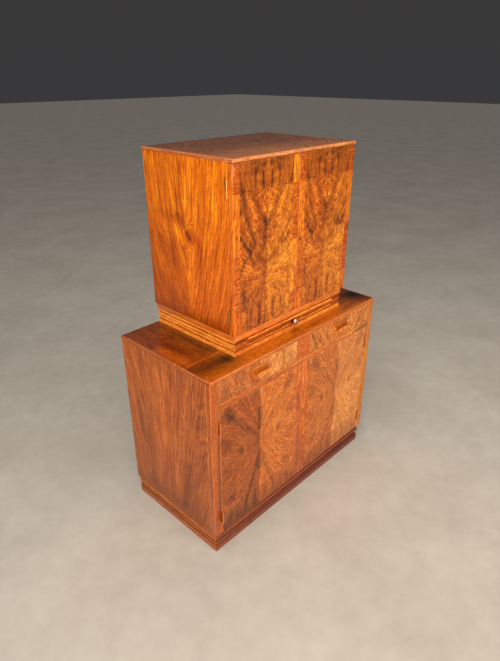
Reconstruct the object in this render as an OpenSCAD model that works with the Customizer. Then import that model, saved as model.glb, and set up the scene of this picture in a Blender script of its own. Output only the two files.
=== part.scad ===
// Two-stage bar cabinet in figured walnut: a lower cabinet with two drawers over
// two doors, and an upper cabinet with two doors and a pull-out serving slide.
// X runs along the width (left is negative), -Y is the front, +Z is up.
// The origin lies on the floor, under the middle of the overall box.

/* [Lower cabinet] */
// Width over the edging of the lower top
lower_w = 915; // [860:5:970]
// Depth of the lower cabinet, edging of the top to the back
lower_d = 462; // [430:2:490]
// Height of the lower top above the floor
lower_h = 720; // [690:5:760]
// Height of the lower plinth under the body
plinth_h = 82; // [78:1:90]
// Thickness of the boards
board_t = 18; // [16:1:20]
// Width of the front stiles
stile_w = 35; // [32:1:42]
// Height of the drawer fronts
drawer_h = 82; // [72:1:96]
// Height of the rail under the drawers
rail_h = 18; // [16:1:24]
// Width of the muntin between the drawers
muntin_w = 72; // [60:2:84]
// Depth of the drawers behind their fronts' faces
drawer_d = 420; // [360:10:420]

/* [Upper cabinet] */
// Width over the edging of the upper top
upper_w = 600; // [560:5:640]
// Depth of the upper cabinet, edging of the top to the back
upper_d = 412; // [390:2:424]
// Height of the upper cabinet above the lower top
upper_h = 620; // [580:5:680]
// Height of the upper plinth
stand_h = 55; // [54:1:60]
// Thickness of the upper bottom board, seen as the rail under the doors
sill_t = 23; // [20:1:26]
// Width of the front of the serving slide
slide_w = 468; // [440:2:480]
// Height of the glass shelf above the upper bottom board
glass_z = 330; // [240:10:360]

/* [Doors and hardware] */
// Thickness of the doors and drawer fronts
door_t = 20; // [19:1:22]
// Length of the hinges
hinge_l = 50; // [45:5:65]
// Outer radius of the hinge knuckles
knuckle_r = 3.2; // [3:0.1:3.6]
// Radius of the hinge pins
pin_r = 1.25; // [1:0.05:1.5]
// Width of the drawer handles
handle_w = 72; // [60:2:90]
// How far the drawer handles stand in front of the top's edging
handle_p = 20; // [18:1:24]
// Radius of the knob on the serving slide
knob_r = 12; // [8:0.5:14]

/* [Hidden] */
$fn = 48;

proud = 1;              // the edging of each top stands proud of the body
edge_h = 10;            // height of the edging
edge_w = 5;             // width of the edging
back_t = 6;             // thickness of the back panels
back_in = 8;            // inner face of the back panels, from the back
gap = 1;                // joint round the doors at the hinges
meet = 0.75;            // half the joint between two doors

// lower cabinet
hx = lower_w/2 - proud;             // outer face of the sides
ix = hx - board_t;                  // inner face of the sides
ox = hx - stile_w;                  // opening between the stiles
ylf = -lower_d/2 + handle_p/2;      // front of the top's edging
yb = lower_d/2 + handle_p/2;        // back
yf = ylf + proud;                   // front of stiles, rails and doors
ye = lower_h - edge_h;              // top of the sides, under the top
drawer_z1 = ye - 2;
drawer_z0 = drawer_z1 - drawer_h;
rail_z1 = drawer_z0 - 2;
rail_z0 = rail_z1 - rail_h;
ld_z1 = rail_z0 - 3;                // lower doors, top
ld_z0 = plinth_h + 2;               // lower doors, bottom
stile_d = 20;
shelf_z = plinth_h + board_t + 240;
mould_t = 34;                       // back of the plinth mouldings, from the body's face
box_t = 10;                         // thickness of the drawer sides
box_y1 = yf + drawer_d;             // back of the drawer boxes
dx0 = muntin_w/2 + 1.5;             // drawer fronts, inner end
dx1 = ox - 1.5;                     // drawer fronts, outer end

// upper cabinet
ux = upper_w/2 - proud;
uix = ux - board_t;
yuf = yb - upper_d;                 // front of the top's edging
yu = yuf + proud;                   // front of the doors
uz0 = lower_h + stand_h;            // underside of the bottom board
uz1 = uz0 + sill_t;                 // top of the bottom board, foot of the sides
uze = lower_h + upper_h - edge_h;   // top of the sides
ud_z0 = uz1 + 1;
ud_z1 = uze - 2;
yug = yu + door_t + gap;            // front edge of the sides
sill_in = 7;                        // the bottom board stands in from the body
slide_y1 = yu + mould_t + 286;      // back end of the slide's board
slide_travel = 220;
runner_x0 = slide_w/2 - 44;

// hinges
ar = knuckle_r + 0.1;               // axis to the face that the knuckle stands on
leaf_t = 1.4;
leaf_w = 16;
lh_x = ox - gap/2;                  // lower hinge axis
lh_y = yf - ar;
uh_x = ux + ar;                     // upper hinge axis
uh_y = yu + door_t + gap/2;
lh_z = [ld_z0 + 46, ld_z1 - 43 - hinge_l];
uh_z = [ud_z0 + 38, ud_z1 - 46 - hinge_l];

// locks and bolts
lk_z = plinth_h + 308;              // lower keyhole
lk_x = 18;
uk_z = uz1 + 257;                   // upper keyhole
uk_x = 14;
bolt_x = 17;

// colours
walnut = [0.62, 0.33, 0.13];
walnut_red = [0.55, 0.24, 0.10];
walnut_gold = [0.72, 0.45, 0.20];
walnut_dark = [0.38, 0.18, 0.08];
edging = [0.78, 0.45, 0.22];
lining = [0.80, 0.68, 0.48];
brass = [0.80, 0.65, 0.35];

// a box from its low and high corners
module span(x0, x1, y0, y1, z0, z1)
  translate([x0, y0, z0]) cube([x1 - x0, y1 - y0, z1 - z0]);

// the same piece on both sides
module both() { children(); mirror([1, 0, 0]) children(); }

// ---------------------------------------------------------------- profiles

// a moulding's profile runs inwards from the body's face (x) and up (y)
module reed(front, z0, z1) {
  r = (z1 - z0)/2;
  translate([front + r, (z0 + z1)/2]) circle(r = r);
  translate([front + r, z0]) square([mould_t - front - r, z1 - z0]);
}
module band(front, z0, z1) translate([front, z0]) square([mould_t - front, z1 - z0]);

// lower plinth: plain foot, reed, deep groove, broad rounded moulding, recess
module plinth_profile() {
  band(8, 0, 24);
  band(11, 23.9, 27);
  reed(9, 27, 37);
  band(16, 36.9, 45.1);
  translate([14, 52]) circle(r = 7);
  translate([14, 60]) circle(r = 7);
  band(7, 52, 60);
  band(14, 45, 67);
  band(15, 66.9, plinth_h);
}

// upper plinth: low plain band, reed, deep groove, broad band, reed
module stand_profile() {
  band(9, 0, 15);
  band(13, 14.9, 17.1);
  reed(10, 17, 24);
  band(16, 23.9, 27.1);
  band(10, 27, 41);
  band(13, 40.9, 43.1);
  reed(9, 43, 52);
  band(13, 51.9, stand_h);
}

// front of the serving slide: as the upper plinth, with a bead along its top
module slide_profile() {
  band(13, 17.5, 18.6);
  reed(10, 18, 24);
  band(16, 23.9, 27.1);
  band(10, 27, 40.1);
  reed(4, 40, 50);
  band(12, 49.9, 53);
}

// edging of the tops, 5 x 10 with eased arrises
module edge_profile() {
  r = 1.2;
  translate([r, r]) circle(r = r);
  translate([r, edge_h - r]) circle(r = r);
  translate([0, r]) square([edge_w, edge_h - 2*r]);
  translate([r, 0]) square([edge_w - r, edge_h]);
}

// a profile run along the front, from x = -w to w at y = yface, mitred at both ends
module run_front(w, yface, t)
  intersection() {
    translate([-w, yface, 0]) rotate([90, 0, 90]) linear_extrude(2*w) children();
    translate([0, 0, -1]) linear_extrude(400)
      polygon([[-w, yface], [w, yface], [w - t, yface + t], [-w + t, yface + t]]);
  }

// a profile run along the left side, from the mitre at the front to y = y1
module run_left(w, yface, t, y1)
  intersection() {
    translate([-w, y1, 0]) rotate([90, 0, 0]) linear_extrude(y1 - yface) children();
    translate([0, 0, -1]) linear_extrude(400)
      polygon([[-w, yface], [-w + t, yface + t], [-w + t, y1], [-w, y1]]);
  }

// ---------------------------------------------------------------- hinges

// knuckles k = 0..4 of one hinge; the frame leaf has 0, 2, 4 and the door leaf 1, 3
function knuckle_z0(k) = k*hinge_l/5 + (k == 0 ? 0 : 0.15);
function knuckle_h(k) = hinge_l/5 - ((k == 0 || k == 4) ? 0.15 : 0.3);

// one leaf; the axis is Z, the leaf runs along +X, s = 1 puts it on the +Y side
module leaf(ks, s, bore)
  difference() {
    union() {
      translate([ar, s > 0 ? 0.1 : -0.1 - leaf_t, 0]) cube([leaf_w, leaf_t, hinge_l]);
      for (k = ks) translate([0, 0, knuckle_z0(k)]) {
        cylinder(r = knuckle_r, h = knuckle_h(k));
        translate([0, s > 0 ? 0.1 : -0.1 - leaf_t, 0]) cube([ar + 1, leaf_t, knuckle_h(k)]);
      }
    }
    translate([0, 0, -1]) cylinder(r = bore, h = hinge_l + 2);
  }

module at_upper_hinges() for (z = uh_z) translate([-uh_x, uh_y, z]) children();
module at_lower_hinges() for (z = lh_z) translate([-lh_x, lh_y, z]) rotate([0, 0, 90]) children();

// pockets that the leaves are let into, 1 mm deep
module upper_side_pockets() for (z = uh_z) span(-ux - 1, -ux + leaf_w, yug - 1, yug + leaf_t - 0.4, z, z + hinge_l);
module upper_door_pockets() for (z = uh_z) span(-ux - 1, -ux + leaf_w, yu + door_t - leaf_t + 0.4, yu + door_t + 1, z, z + hinge_l);
module lower_stile_pockets() for (z = lh_z) span(-ox - leaf_t + 0.4, -ox + 1, yf - 1, yf + leaf_w, z, z + hinge_l);
module lower_door_pockets() for (z = lh_z) span(-ox, -ox + gap + leaf_t - 0.4, yf - 1, yf + leaf_w, z, z + hinge_l);

// ---------------------------------------------------------------- locks and bolts

// keyhole outline, grown by g; x across, y up
module keyhole(g) {
  circle(r = 1.7 + g);
  translate([-0.9 - g, -6 - g]) square([1.8 + 2*g, 6 + g]);
}
// a keyhole prism through y0..y1 at x, z
module keyhole_prism(x, z, y0, y1, g)
  translate([x, y1, z]) rotate([90, 0, 0]) linear_extrude(y1 - y0) keyhole(g);

// lock case let into the back of a right door, with a slot for its bolt
module lock_case(x, z, yback)
  difference() {
    span(meet, 40, yback - 9, yback, z - 20, z + 20);
    span(meet - 1, 32, yback - 6.6, yback - 1.8, z - 6.4, z + 6.4);
    keyhole_prism(x, z, yback - 10, yback - 4, 0);
  }
module lock_bolt(z, yback) span(1.5, 26, yback - 6.2, yback - 2.2, z - 6, z + 6);
module keyhole_liner(x, z, yfront)
  difference() {
    keyhole_prism(x, z, yfront - 0.3, yfront + 2, 1.4);
    keyhole_prism(x, z, yfront - 1, yfront + 3, 0);
  }

// brass bolt on the back of a left door; z1 is the face that it shoots into
module bolt_plate(yback, z1) {
  difference() {
    union() {
      span(-bolt_x - 7, -bolt_x + 7, yback, yback + 1.5, z1 - 84, z1 - 12);
      span(-bolt_x - 5, -bolt_x + 5, yback + 1.4, yback + 9.5, z1 - 76, z1 - 68);
      span(-bolt_x - 5, -bolt_x + 5, yback + 1.4, yback + 9.5, z1 - 28, z1 - 20);
    }
    translate([-bolt_x, yback + 5.5, z1 - 90]) cylinder(r = 3.05, h = 90);
  }
}
module door_bolt(yback, z1) {
  translate([-bolt_x, yback + 5.5, z1 - 80]) cylinder(r = 3, h = 76);
  translate([-bolt_x, yback + 5.5, z1 - 54]) rotate([-90, 0, 0]) cylinder(r = 2.2, h = 9);
  translate([-bolt_x, yback + 13.5, z1 - 54]) rotate([-90, 0, 0]) cylinder(r = 4, h = 4);
}
module bolt_hole(yback, z1) translate([-bolt_x, yback + 5.5, z1 - 1]) cylinder(r = 3.5, h = 9);

// ---------------------------------------------------------------- lower cabinet

module lower_left_side() color(walnut_red) lower_side();
module lower_right_side() color(walnut_red) mirror([1, 0, 0]) lower_side();
module lower_side()
  difference() {
    span(-hx, -ix, yf + stile_d, yb, plinth_h, ye);
    for (y = [yf + 80, yb - 90])
      translate([-ix - 10, y, shelf_z - 3]) rotate([0, 90, 0]) cylinder(r = 3, h = 11);
  }

module lower_stiles() color(walnut_red) both()
  difference() {
    span(-hx, -ox, yf, yf + stile_d, plinth_h, ye);
    lower_stile_pockets();
  }

module lower_top() color(walnut) {
  span(-lower_w/2 + edge_w, lower_w/2 - edge_w, ylf + edge_w, yb, ye, lower_h);
  span(-ix, ix, yf + door_t + 2, yb - back_in, ye - 8, ye + 1);
}

module lower_top_edging() color(edging) {
  translate([0, 0, ye]) run_front(lower_w/2, ylf, edge_w) edge_profile();
  both() translate([0, 0, ye]) run_left(lower_w/2, ylf, edge_w, yb) edge_profile();
}

module lower_bottom() color(lining)
  span(-ix, ix, yf + door_t + gap, yb - back_in, plinth_h, plinth_h + board_t);

module lower_back() color(lining)
  span(-ix, ix, yb - back_in, yb - back_in + back_t, plinth_h, ye);

// the rail's front shows between the stiles, its back half runs to the sides
module drawer_rail() color(walnut_red)
  difference() {
    union() {
      span(-ox, ox, yf, yf + 60, rail_z0, rail_z1);
      span(-ix, ix, yf + stile_d, yf + 60, rail_z0, rail_z1);
    }
    bolt_hole(yf + door_t, rail_z0);
  }

module drawer_muntin() color(walnut_red)
  span(-muntin_w/2, muntin_w/2, yf, yf + door_t, rail_z1, ye);

module drawer_partitions() color(lining) both()
  span(muntin_w/2 - 18, muntin_w/2, yf + door_t + 2, yb - back_in, rail_z1, ye - 8);

// three runners under the drawers and a guide glued to each side
module drawer_runners() color(lining) {
  span(-muntin_w/2 - 16, muntin_w/2 + 16, yf + 60, yb - back_in, rail_z0, rail_z1);
  both() {
    span(ox - 18, ix, yf + 60, yb - back_in, rail_z0, rail_z1);
    span(ox, ix, yf + stile_d, yb - back_in, rail_z1 + 1, rail_z1 + 28);
  }
}

module lower_shelf() color(lining)
  span(-ix + 1, ix - 1, yf + door_t + 18, yb - back_in - 6, shelf_z, shelf_z + board_t);

// turned pegs in the sides, four for each shelf
module shelf_pegs() color(brass) both() {
  for (y = [yf + 80, yb - 90])
    translate([-ix - 10, y, shelf_z - 3]) rotate([0, 90, 0]) cylinder(r = 3, h = 20);
  for (y = [yu + 90, yb - 70])
    translate([-uix - 10, y, uz1 + glass_z - 3]) rotate([0, 90, 0]) cylinder(r = 3, h = 20);
}

module lower_plinth_front() color(walnut_dark) run_front(hx, yf, mould_t) plinth_profile();
module lower_plinth_sides() color(walnut_dark) both() run_left(hx, yf, mould_t, yb) plinth_profile();
module lower_plinth_back() color(lining)
  span(-hx + mould_t, hx - mould_t, yb - 26, yb - 8, 0, plinth_h);

// ---------------------------------------------------------------- upper cabinet

module upper_left_side() color(walnut) upper_side();
module upper_right_side() color(walnut) mirror([1, 0, 0]) upper_side();
module upper_side()
  difference() {
    span(-ux, -uix, yug, yb, uz1, uze);
    upper_side_pockets();
    for (y = [yu + 90, yb - 70])
      translate([-uix - 10, y, uz1 + glass_z - 3]) rotate([0, 90, 0]) cylinder(r = 3, h = 11);
  }

module upper_top() color(walnut_dark)
  difference() {
    union() {
      span(-upper_w/2 + edge_w, upper_w/2 - edge_w, yuf + edge_w, yb, uze, lower_h + upper_h);
      span(-uix, uix, yug, yb - back_in, uze - 8, uze + 1);
    }
    bolt_hole(yu + door_t, uze - 8);
  }

module upper_top_edging() color(edging) {
  translate([0, 0, uze]) run_front(upper_w/2, yuf, edge_w) edge_profile();
  both() translate([0, 0, uze]) run_left(upper_w/2, yuf, edge_w, yb) edge_profile();
}

module upper_bottom() color(edging)
  span(-ux + sill_in, ux - sill_in, yu + sill_in, yb, uz0, uz1);

module upper_back() color(lining)
  span(-uix, uix, yb - back_in, yb - back_in + back_t, uz1, uze);

module mirror_back() color([0.80, 0.84, 0.86])
  span(-uix + 2, uix - 2, yb - back_in - 4, yb - back_in, uz1 + 2, uze - 10);

module glass_shelf() color([0.75, 0.88, 0.84, 0.5])
  span(-uix + 1, uix - 1, yu + 56, yb - back_in - 6, uz1 + glass_z, uz1 + glass_z + 6);

// the plinth's front is cut at the slide: a low rail right across, and a block
// each side of the slide above it
module upper_plinth_front() color(walnut)
  intersection() {
    translate([0, 0, lower_h]) run_front(ux, yu, mould_t) stand_profile();
    span(-ux, ux, yu, yu + mould_t, lower_h, lower_h + 16);
  }
module upper_plinth_corners() color(walnut) both()
  intersection() {
    translate([0, 0, lower_h]) run_front(ux, yu, mould_t) stand_profile();
    span(-ux, -slide_w/2 - 0.7, yu, yu + mould_t, lower_h + 16, uz0);
  }
module upper_plinth_sides() color(walnut) both()
  translate([0, 0, lower_h]) run_left(ux, yu, mould_t, yb) stand_profile();
module upper_plinth_back() color(lining)
  span(-ux + mould_t, ux - mould_t, yb - 26, yb - 8, lower_h, uz0);

// grooved runners that carry the slide, glued under the bottom board
module slide_runners() color(lining) both()
  difference() {
    span(runner_x0, slide_w/2 + 4, yu + mould_t + 2, yb - 27, lower_h + 17, uz0);
    span(runner_x0 - 1, slide_w/2 - 13, yu, yb, lower_h + 29.5, lower_h + 42.5);
  }

// ---------------------------------------------------------------- hardware on the carcass

module hinge_frame_leaves() color(brass) both() {
  at_upper_hinges() leaf([0, 2, 4], 1, pin_r);
  at_lower_hinges() leaf([0, 2, 4], 1, pin_r);
}
module hinge_pins() color(brass) both() {
  at_upper_hinges() cylinder(r = pin_r, h = hinge_l);
  at_lower_hinges() cylinder(r = pin_r, h = hinge_l);
}

// ---------------------------------------------------------------- serving slide

// board with a stop batten glued under it
module slide_board() color(walnut_gold) {
  span(-slide_w/2 + 14, slide_w/2 - 14, yu + mould_t, slide_y1, lower_h + 30, lower_h + 42);
  span(-40, 40, yu + mould_t + slide_travel + 1, yu + mould_t + slide_travel + 19, lower_h + 9, lower_h + 31);
}
module slide_front() color(walnut)
  translate([-slide_w/2, yu, lower_h]) rotate([90, 0, 90]) linear_extrude(slide_w) slide_profile();

// turned knob: rose, waist and flattened ball
module slide_knob() color(brass)
  translate([0, yu + 10, lower_h + 35]) rotate([90, 0, 0]) rotate_extrude() {
    square([4.8, 1.5]);
    square([3.6, 9]);
    intersection() {
      translate([0, 15]) scale(knob_r/10) circle(r = 10);
      translate([0, 7.5]) square([knob_r, 16.5]);
    }
  }

// ---------------------------------------------------------------- drawers

// drawer to the right of the middle
module drawer_front() span(dx0, dx1, yf, yf + door_t, drawer_z0, drawer_z1);
module drawer_box() {
  span(dx0, dx0 + box_t, yf + door_t, box_y1, rail_z1 + 0.5, ye - 10);
  span(dx1 - box_t, dx1, yf + door_t, box_y1, rail_z1 + 0.5, ye - 10);
  span(dx0, dx1, box_y1 - box_t, box_y1, rail_z1 + 14, ye - 14);
}
module drawer_bottom()
  span(dx0 + box_t, dx1 - box_t, yf + door_t, box_y1 - box_t, rail_z1 + 8, rail_z1 + 13);

// wooden scoop handle: a thin back, a finger trough and a rounded lip
module drawer_handle() {
  h = handle_p + proud;
  z = drawer_z0 + 31;
  translate([(dx0 + dx1)/2 - handle_w/2, yf, z]) rotate([90, 0, 90]) linear_extrude(handle_w)
    difference() {
      union() {
        translate([-h + 7, 7]) circle(r = 7);
        translate([-h + 7, 0]) square([h - 7, 14]);
        translate([-h, 7]) square([7, 10.8]);
        translate([-h + 2.2, 17.8]) circle(r = 2.2);
        translate([-h + 2.2, 7]) square([2.6, 10.8]);
        translate([-7, 12]) square([7, 25]);
      }
      // the trough, opening upwards between the lip and the sloping back
      translate([-h + 10.8, 13.5]) circle(r = 5.6);
      polygon([[-h + 5.2, 13.5], [-h + 16.4, 13.5], [-1.8, 38], [-h + 5.2, 38]]);
    }
}

module left_drawer_front() color(walnut_gold) mirror([1, 0, 0]) drawer_front();
module left_drawer_box() color(lining) mirror([1, 0, 0]) drawer_box();
module left_drawer_bottom() color(lining) mirror([1, 0, 0]) drawer_bottom();
module left_drawer_handle() color(walnut) mirror([1, 0, 0]) drawer_handle();
module right_drawer_front() color(walnut_gold) drawer_front();
module right_drawer_box() color(lining) drawer_box();
module right_drawer_bottom() color(lining) drawer_bottom();
module right_drawer_handle() color(walnut) drawer_handle();

// ---------------------------------------------------------------- upper doors

module upper_left_door() color(walnut)
  difference() {
    span(-ux, -meet, yu, yu + door_t, ud_z0, ud_z1);
    upper_door_pockets();
    span(-10, 0, yu + door_t - 7, yu + door_t - 1.4, uk_z - 7, uk_z + 7);
  }
module upper_left_door_leaves() color(brass) at_upper_hinges() leaf([1, 3], -1, pin_r + 0.05);
module upper_bolt_plate() color(brass) bolt_plate(yu + door_t, uze - 8);
module upper_door_bolt() color(brass) door_bolt(yu + door_t, uze - 8);

module upper_right_door() color(walnut)
  difference() {
    span(meet, ux, yu, yu + door_t, ud_z0, ud_z1);
    mirror([1, 0, 0]) upper_door_pockets();
    span(0, 40, yu + door_t - 9, yu + door_t + 1, uk_z - 20, uk_z + 20);
    keyhole_prism(uk_x, uk_z, yu - 1, yu + door_t, 0);
    keyhole_prism(uk_x, uk_z, yu - 1, yu + 2, 1.4);
  }
module upper_right_door_leaves() color(brass) mirror([1, 0, 0]) at_upper_hinges() leaf([1, 3], -1, pin_r + 0.05);
module upper_lock_case() color(brass) lock_case(uk_x, uk_z, yu + door_t);
module upper_lock_bolt() color(brass) lock_bolt(uk_z, yu + door_t);
module upper_keyhole_liner() color(brass) keyhole_liner(uk_x, uk_z, yu);

// ---------------------------------------------------------------- lower doors

module lower_left_door() color(walnut_gold)
  difference() {
    span(-ox + gap, -meet, yf, yf + door_t, ld_z0, ld_z1);
    lower_door_pockets();
    span(-10, 0, yf + door_t - 7, yf + door_t - 1.4, lk_z - 7, lk_z + 7);
  }
module lower_left_door_leaves() color(brass) at_lower_hinges() leaf([1, 3], -1, pin_r + 0.05);
module lower_bolt_plate() color(brass) bolt_plate(yf + door_t, rail_z0);
module lower_door_bolt() color(brass) door_bolt(yf + door_t, rail_z0);

module lower_right_door() color(walnut_gold)
  difference() {
    span(meet, ox - gap, yf, yf + door_t, ld_z0, ld_z1);
    mirror([1, 0, 0]) lower_door_pockets();
    span(0, 40, yf + door_t - 9, yf + door_t + 1, lk_z - 20, lk_z + 20);
    keyhole_prism(lk_x, lk_z, yf - 1, yf + door_t, 0);
    keyhole_prism(lk_x, lk_z, yf - 1, yf + 2, 1.4);
  }
module lower_right_door_leaves() color(brass) mirror([1, 0, 0]) at_lower_hinges() leaf([1, 3], -1, pin_r + 0.05);
module lower_lock_case() color(brass) lock_case(lk_x, lk_z, yf + door_t);
module lower_lock_bolt() color(brass) lock_bolt(lk_z, yf + door_t);
module lower_keyhole_liner() color(brass) keyhole_liner(lk_x, lk_z, yf);

lower_left_side();
lower_right_side();
lower_stiles();
lower_top();
lower_top_edging();
lower_bottom();
lower_back();
drawer_rail();
drawer_muntin();
drawer_partitions();
drawer_runners();
lower_shelf();
shelf_pegs();
lower_plinth_front();
lower_plinth_sides();
lower_plinth_back();
upper_left_side();
upper_right_side();
upper_top();
upper_top_edging();
upper_bottom();
upper_back();
mirror_back();
glass_shelf();
upper_plinth_front();
upper_plinth_corners();
upper_plinth_sides();
upper_plinth_back();
slide_runners();
hinge_frame_leaves();
hinge_pins();
slide_board();
slide_front();
slide_knob();
left_drawer_front();
left_drawer_box();
left_drawer_bottom();
left_drawer_handle();
right_drawer_front();
right_drawer_box();
right_drawer_bottom();
right_drawer_handle();
upper_left_door();
upper_left_door_leaves();
upper_bolt_plate();
upper_door_bolt();
upper_right_door();
upper_right_door_leaves();
upper_lock_case();
upper_lock_bolt();
upper_keyhole_liner();
lower_left_door();
lower_left_door_leaves();
lower_bolt_plate();
lower_door_bolt();
lower_right_door();
lower_right_door_leaves();
lower_lock_case();
lower_lock_bolt();
lower_keyhole_liner();
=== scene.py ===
import math
import random

import bmesh
import bpy
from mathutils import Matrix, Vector


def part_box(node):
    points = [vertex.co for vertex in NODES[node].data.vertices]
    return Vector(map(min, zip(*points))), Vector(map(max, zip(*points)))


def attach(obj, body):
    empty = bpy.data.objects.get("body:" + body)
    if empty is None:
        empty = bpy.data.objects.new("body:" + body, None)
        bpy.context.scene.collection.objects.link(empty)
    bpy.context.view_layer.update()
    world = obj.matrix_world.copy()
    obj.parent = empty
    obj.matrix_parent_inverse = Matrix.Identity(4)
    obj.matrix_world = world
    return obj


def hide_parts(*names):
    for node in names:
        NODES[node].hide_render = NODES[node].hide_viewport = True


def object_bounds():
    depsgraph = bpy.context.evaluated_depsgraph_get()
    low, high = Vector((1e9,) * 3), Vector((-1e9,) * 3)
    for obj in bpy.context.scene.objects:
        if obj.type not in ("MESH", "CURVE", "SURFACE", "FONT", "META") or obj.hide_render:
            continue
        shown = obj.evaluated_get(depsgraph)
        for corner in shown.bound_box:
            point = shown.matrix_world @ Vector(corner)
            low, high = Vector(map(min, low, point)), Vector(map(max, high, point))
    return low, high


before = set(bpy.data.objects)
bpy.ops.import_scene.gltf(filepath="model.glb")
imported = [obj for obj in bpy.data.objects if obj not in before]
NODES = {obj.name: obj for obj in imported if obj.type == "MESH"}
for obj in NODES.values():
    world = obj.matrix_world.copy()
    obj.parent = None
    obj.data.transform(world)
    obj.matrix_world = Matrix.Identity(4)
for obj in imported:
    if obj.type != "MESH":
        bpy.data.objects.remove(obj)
cad_lo, cad_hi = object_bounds()
cad_lo, cad_hi = list(cad_lo), list(cad_hi)

for material in list(bpy.data.materials):
    material.use_fake_user = False


# ------------------------------------------------------------------ colours

def lin(r, g, b):
    """An 8-bit display colour as linear light."""
    def one(c):
        c /= 255.0
        return c / 12.92 if c <= 0.04045 else ((c + 0.055) / 1.055) ** 2.4
    return (one(r), one(g), one(b), 1.0)


# ------------------------------------------------------------------ shader nodes

class Shader:
    """Builds one node material; x, y, z below are sockets or numbers."""

    def __init__(self, name):
        self.material = bpy.data.materials.new(name)
        self.material.use_nodes = True
        self.tree = self.material.node_tree
        self.tree.nodes.clear()
        self.out = self.tree.nodes.new("ShaderNodeOutputMaterial")
        self.bsdf = self.tree.nodes.new("ShaderNodeBsdfPrincipled")
        self.link(self.bsdf.outputs[0], self.out.inputs["Surface"])

    def link(self, a, b):
        self.tree.links.new(a, b)

    def put(self, socket, value):
        if isinstance(value, bpy.types.NodeSocket):
            self.link(value, socket)
        else:
            socket.default_value = value

    def math(self, op, a, b=0.0, c=0.0, clamp=False):
        n = self.tree.nodes.new("ShaderNodeMath")
        n.operation = op
        n.use_clamp = clamp
        self.put(n.inputs[0], a)
        self.put(n.inputs[1], b)
        self.put(n.inputs[2], c)
        return n.outputs[0]

    def add(self, a, b):
        return self.math("ADD", a, b)

    def sub(self, a, b):
        return self.math("SUBTRACT", a, b)

    def mul(self, a, b):
        return self.math("MULTIPLY", a, b)

    def mad(self, a, b, c):
        return self.math("MULTIPLY_ADD", a, b, c)

    def smooth(self, x, lo, hi, out0=0.0, out1=1.0):
        n = self.tree.nodes.new("ShaderNodeMapRange")
        n.interpolation_type = "SMOOTHSTEP"
        self.put(n.inputs["Value"], x)
        self.put(n.inputs["From Min"], lo)
        self.put(n.inputs["From Max"], hi)
        self.put(n.inputs["To Min"], out0)
        self.put(n.inputs["To Max"], out1)
        return n.outputs["Result"]

    def attribute(self, name):
        n = self.tree.nodes.new("ShaderNodeAttribute")
        n.attribute_name = name
        return n

    def split(self, v):
        n = self.tree.nodes.new("ShaderNodeSeparateXYZ")
        self.link(v, n.inputs[0])
        return n.outputs

    def vector(self, x, y, z):
        n = self.tree.nodes.new("ShaderNodeCombineXYZ")
        self.put(n.inputs[0], x)
        self.put(n.inputs[1], y)
        self.put(n.inputs[2], z)
        return n.outputs[0]

    def noise(self, vec, scale=1.0, detail=2.0, rough=0.5, distortion=0.0):
        n = self.tree.nodes.new("ShaderNodeTexNoise")
        n.noise_dimensions = "3D"
        self.put(n.inputs["Vector"], vec)
        n.inputs["Scale"].default_value = scale
        n.inputs["Detail"].default_value = detail
        n.inputs["Roughness"].default_value = rough
        n.inputs["Distortion"].default_value = distortion
        return n.outputs[0]

    def ramp(self, fac, stops):
        n = self.tree.nodes.new("ShaderNodeValToRGB")
        e = n.color_ramp.elements
        while len(e) < len(stops):
            e.new(0.5)
        for i, (at, colour) in enumerate(stops):
            e[i].position = at
            e[i].color = colour
        self.put(n.inputs[0], fac)
        return n.outputs[0]

    def mix(self, fac, a, b, blend="MIX"):
        n = self.tree.nodes.new("ShaderNodeMix")
        n.data_type = "RGBA"
        n.blend_type = blend
        n.clamp_factor = True
        self.put(n.inputs[0], fac)
        self.put(n.inputs[6], a)
        self.put(n.inputs[7], b)
        return n.outputs[2]

    def scaled(self, colour, factor):
        """colour times a number, channel by channel."""
        n = self.tree.nodes.new("ShaderNodeVectorMath")
        n.operation = "SCALE"
        self.link(colour, n.inputs[0])
        self.put(n.inputs["Scale"], factor)
        return n.outputs[0]

    def times(self, colour, vec):
        n = self.tree.nodes.new("ShaderNodeVectorMath")
        n.operation = "MULTIPLY"
        self.link(colour, n.inputs[0])
        self.link(vec, n.inputs[1])
        return n.outputs[0]

    def bump(self, height, strength, distance, normal=None):
        n = self.tree.nodes.new("ShaderNodeBump")
        n.inputs["Strength"].default_value = strength
        n.inputs["Distance"].default_value = distance
        self.link(height, n.inputs["Height"])
        if normal is not None:
            self.link(normal, n.inputs["Normal"])
        return n.outputs[0]

    def place(self, scale=1.0):
        """Row-frame coordinates at rest, in metres; they ride with the piece."""
        n = self.tree.nodes.new("ShaderNodeTexCoord")
        if scale == 1.0:
            return n.outputs["Object"]
        m = self.tree.nodes.new("ShaderNodeVectorMath")
        m.operation = "SCALE"
        self.link(n.outputs["Object"], m.inputs[0])
        m.inputs["Scale"].default_value = scale
        return m.outputs[0]

    def set(self, **values):
        for name, value in values.items():
            self.put(self.bsdf.inputs[name.replace("_", " ")], value)


WALNUT = [(0.00, lin(60, 22, 6)), (0.22, lin(114, 50, 14)), (0.45, lin(178, 88, 25)),
          (0.62, lin(209, 114, 37)), (0.80, lin(233, 146, 60)), (1.00, lin(248, 182, 100))]
STRAIGHT = [(0.00, lin(90, 36, 8)), (0.25, lin(152, 67, 14)), (0.50, lin(201, 100, 26)),
            (0.72, lin(226, 128, 42)), (1.00, lin(246, 164, 76))]
SYCAMORE = [(0.00, lin(150, 108, 58)), (0.35, lin(202, 158, 98)), (0.65, lin(222, 182, 124)),
            (1.00, lin(236, 204, 152))]
OAK = [(0.00, lin(96, 64, 30)), (0.30, lin(158, 116, 64)), (0.60, lin(186, 144, 88)),
       (1.00, lin(208, 170, 114))]


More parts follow.
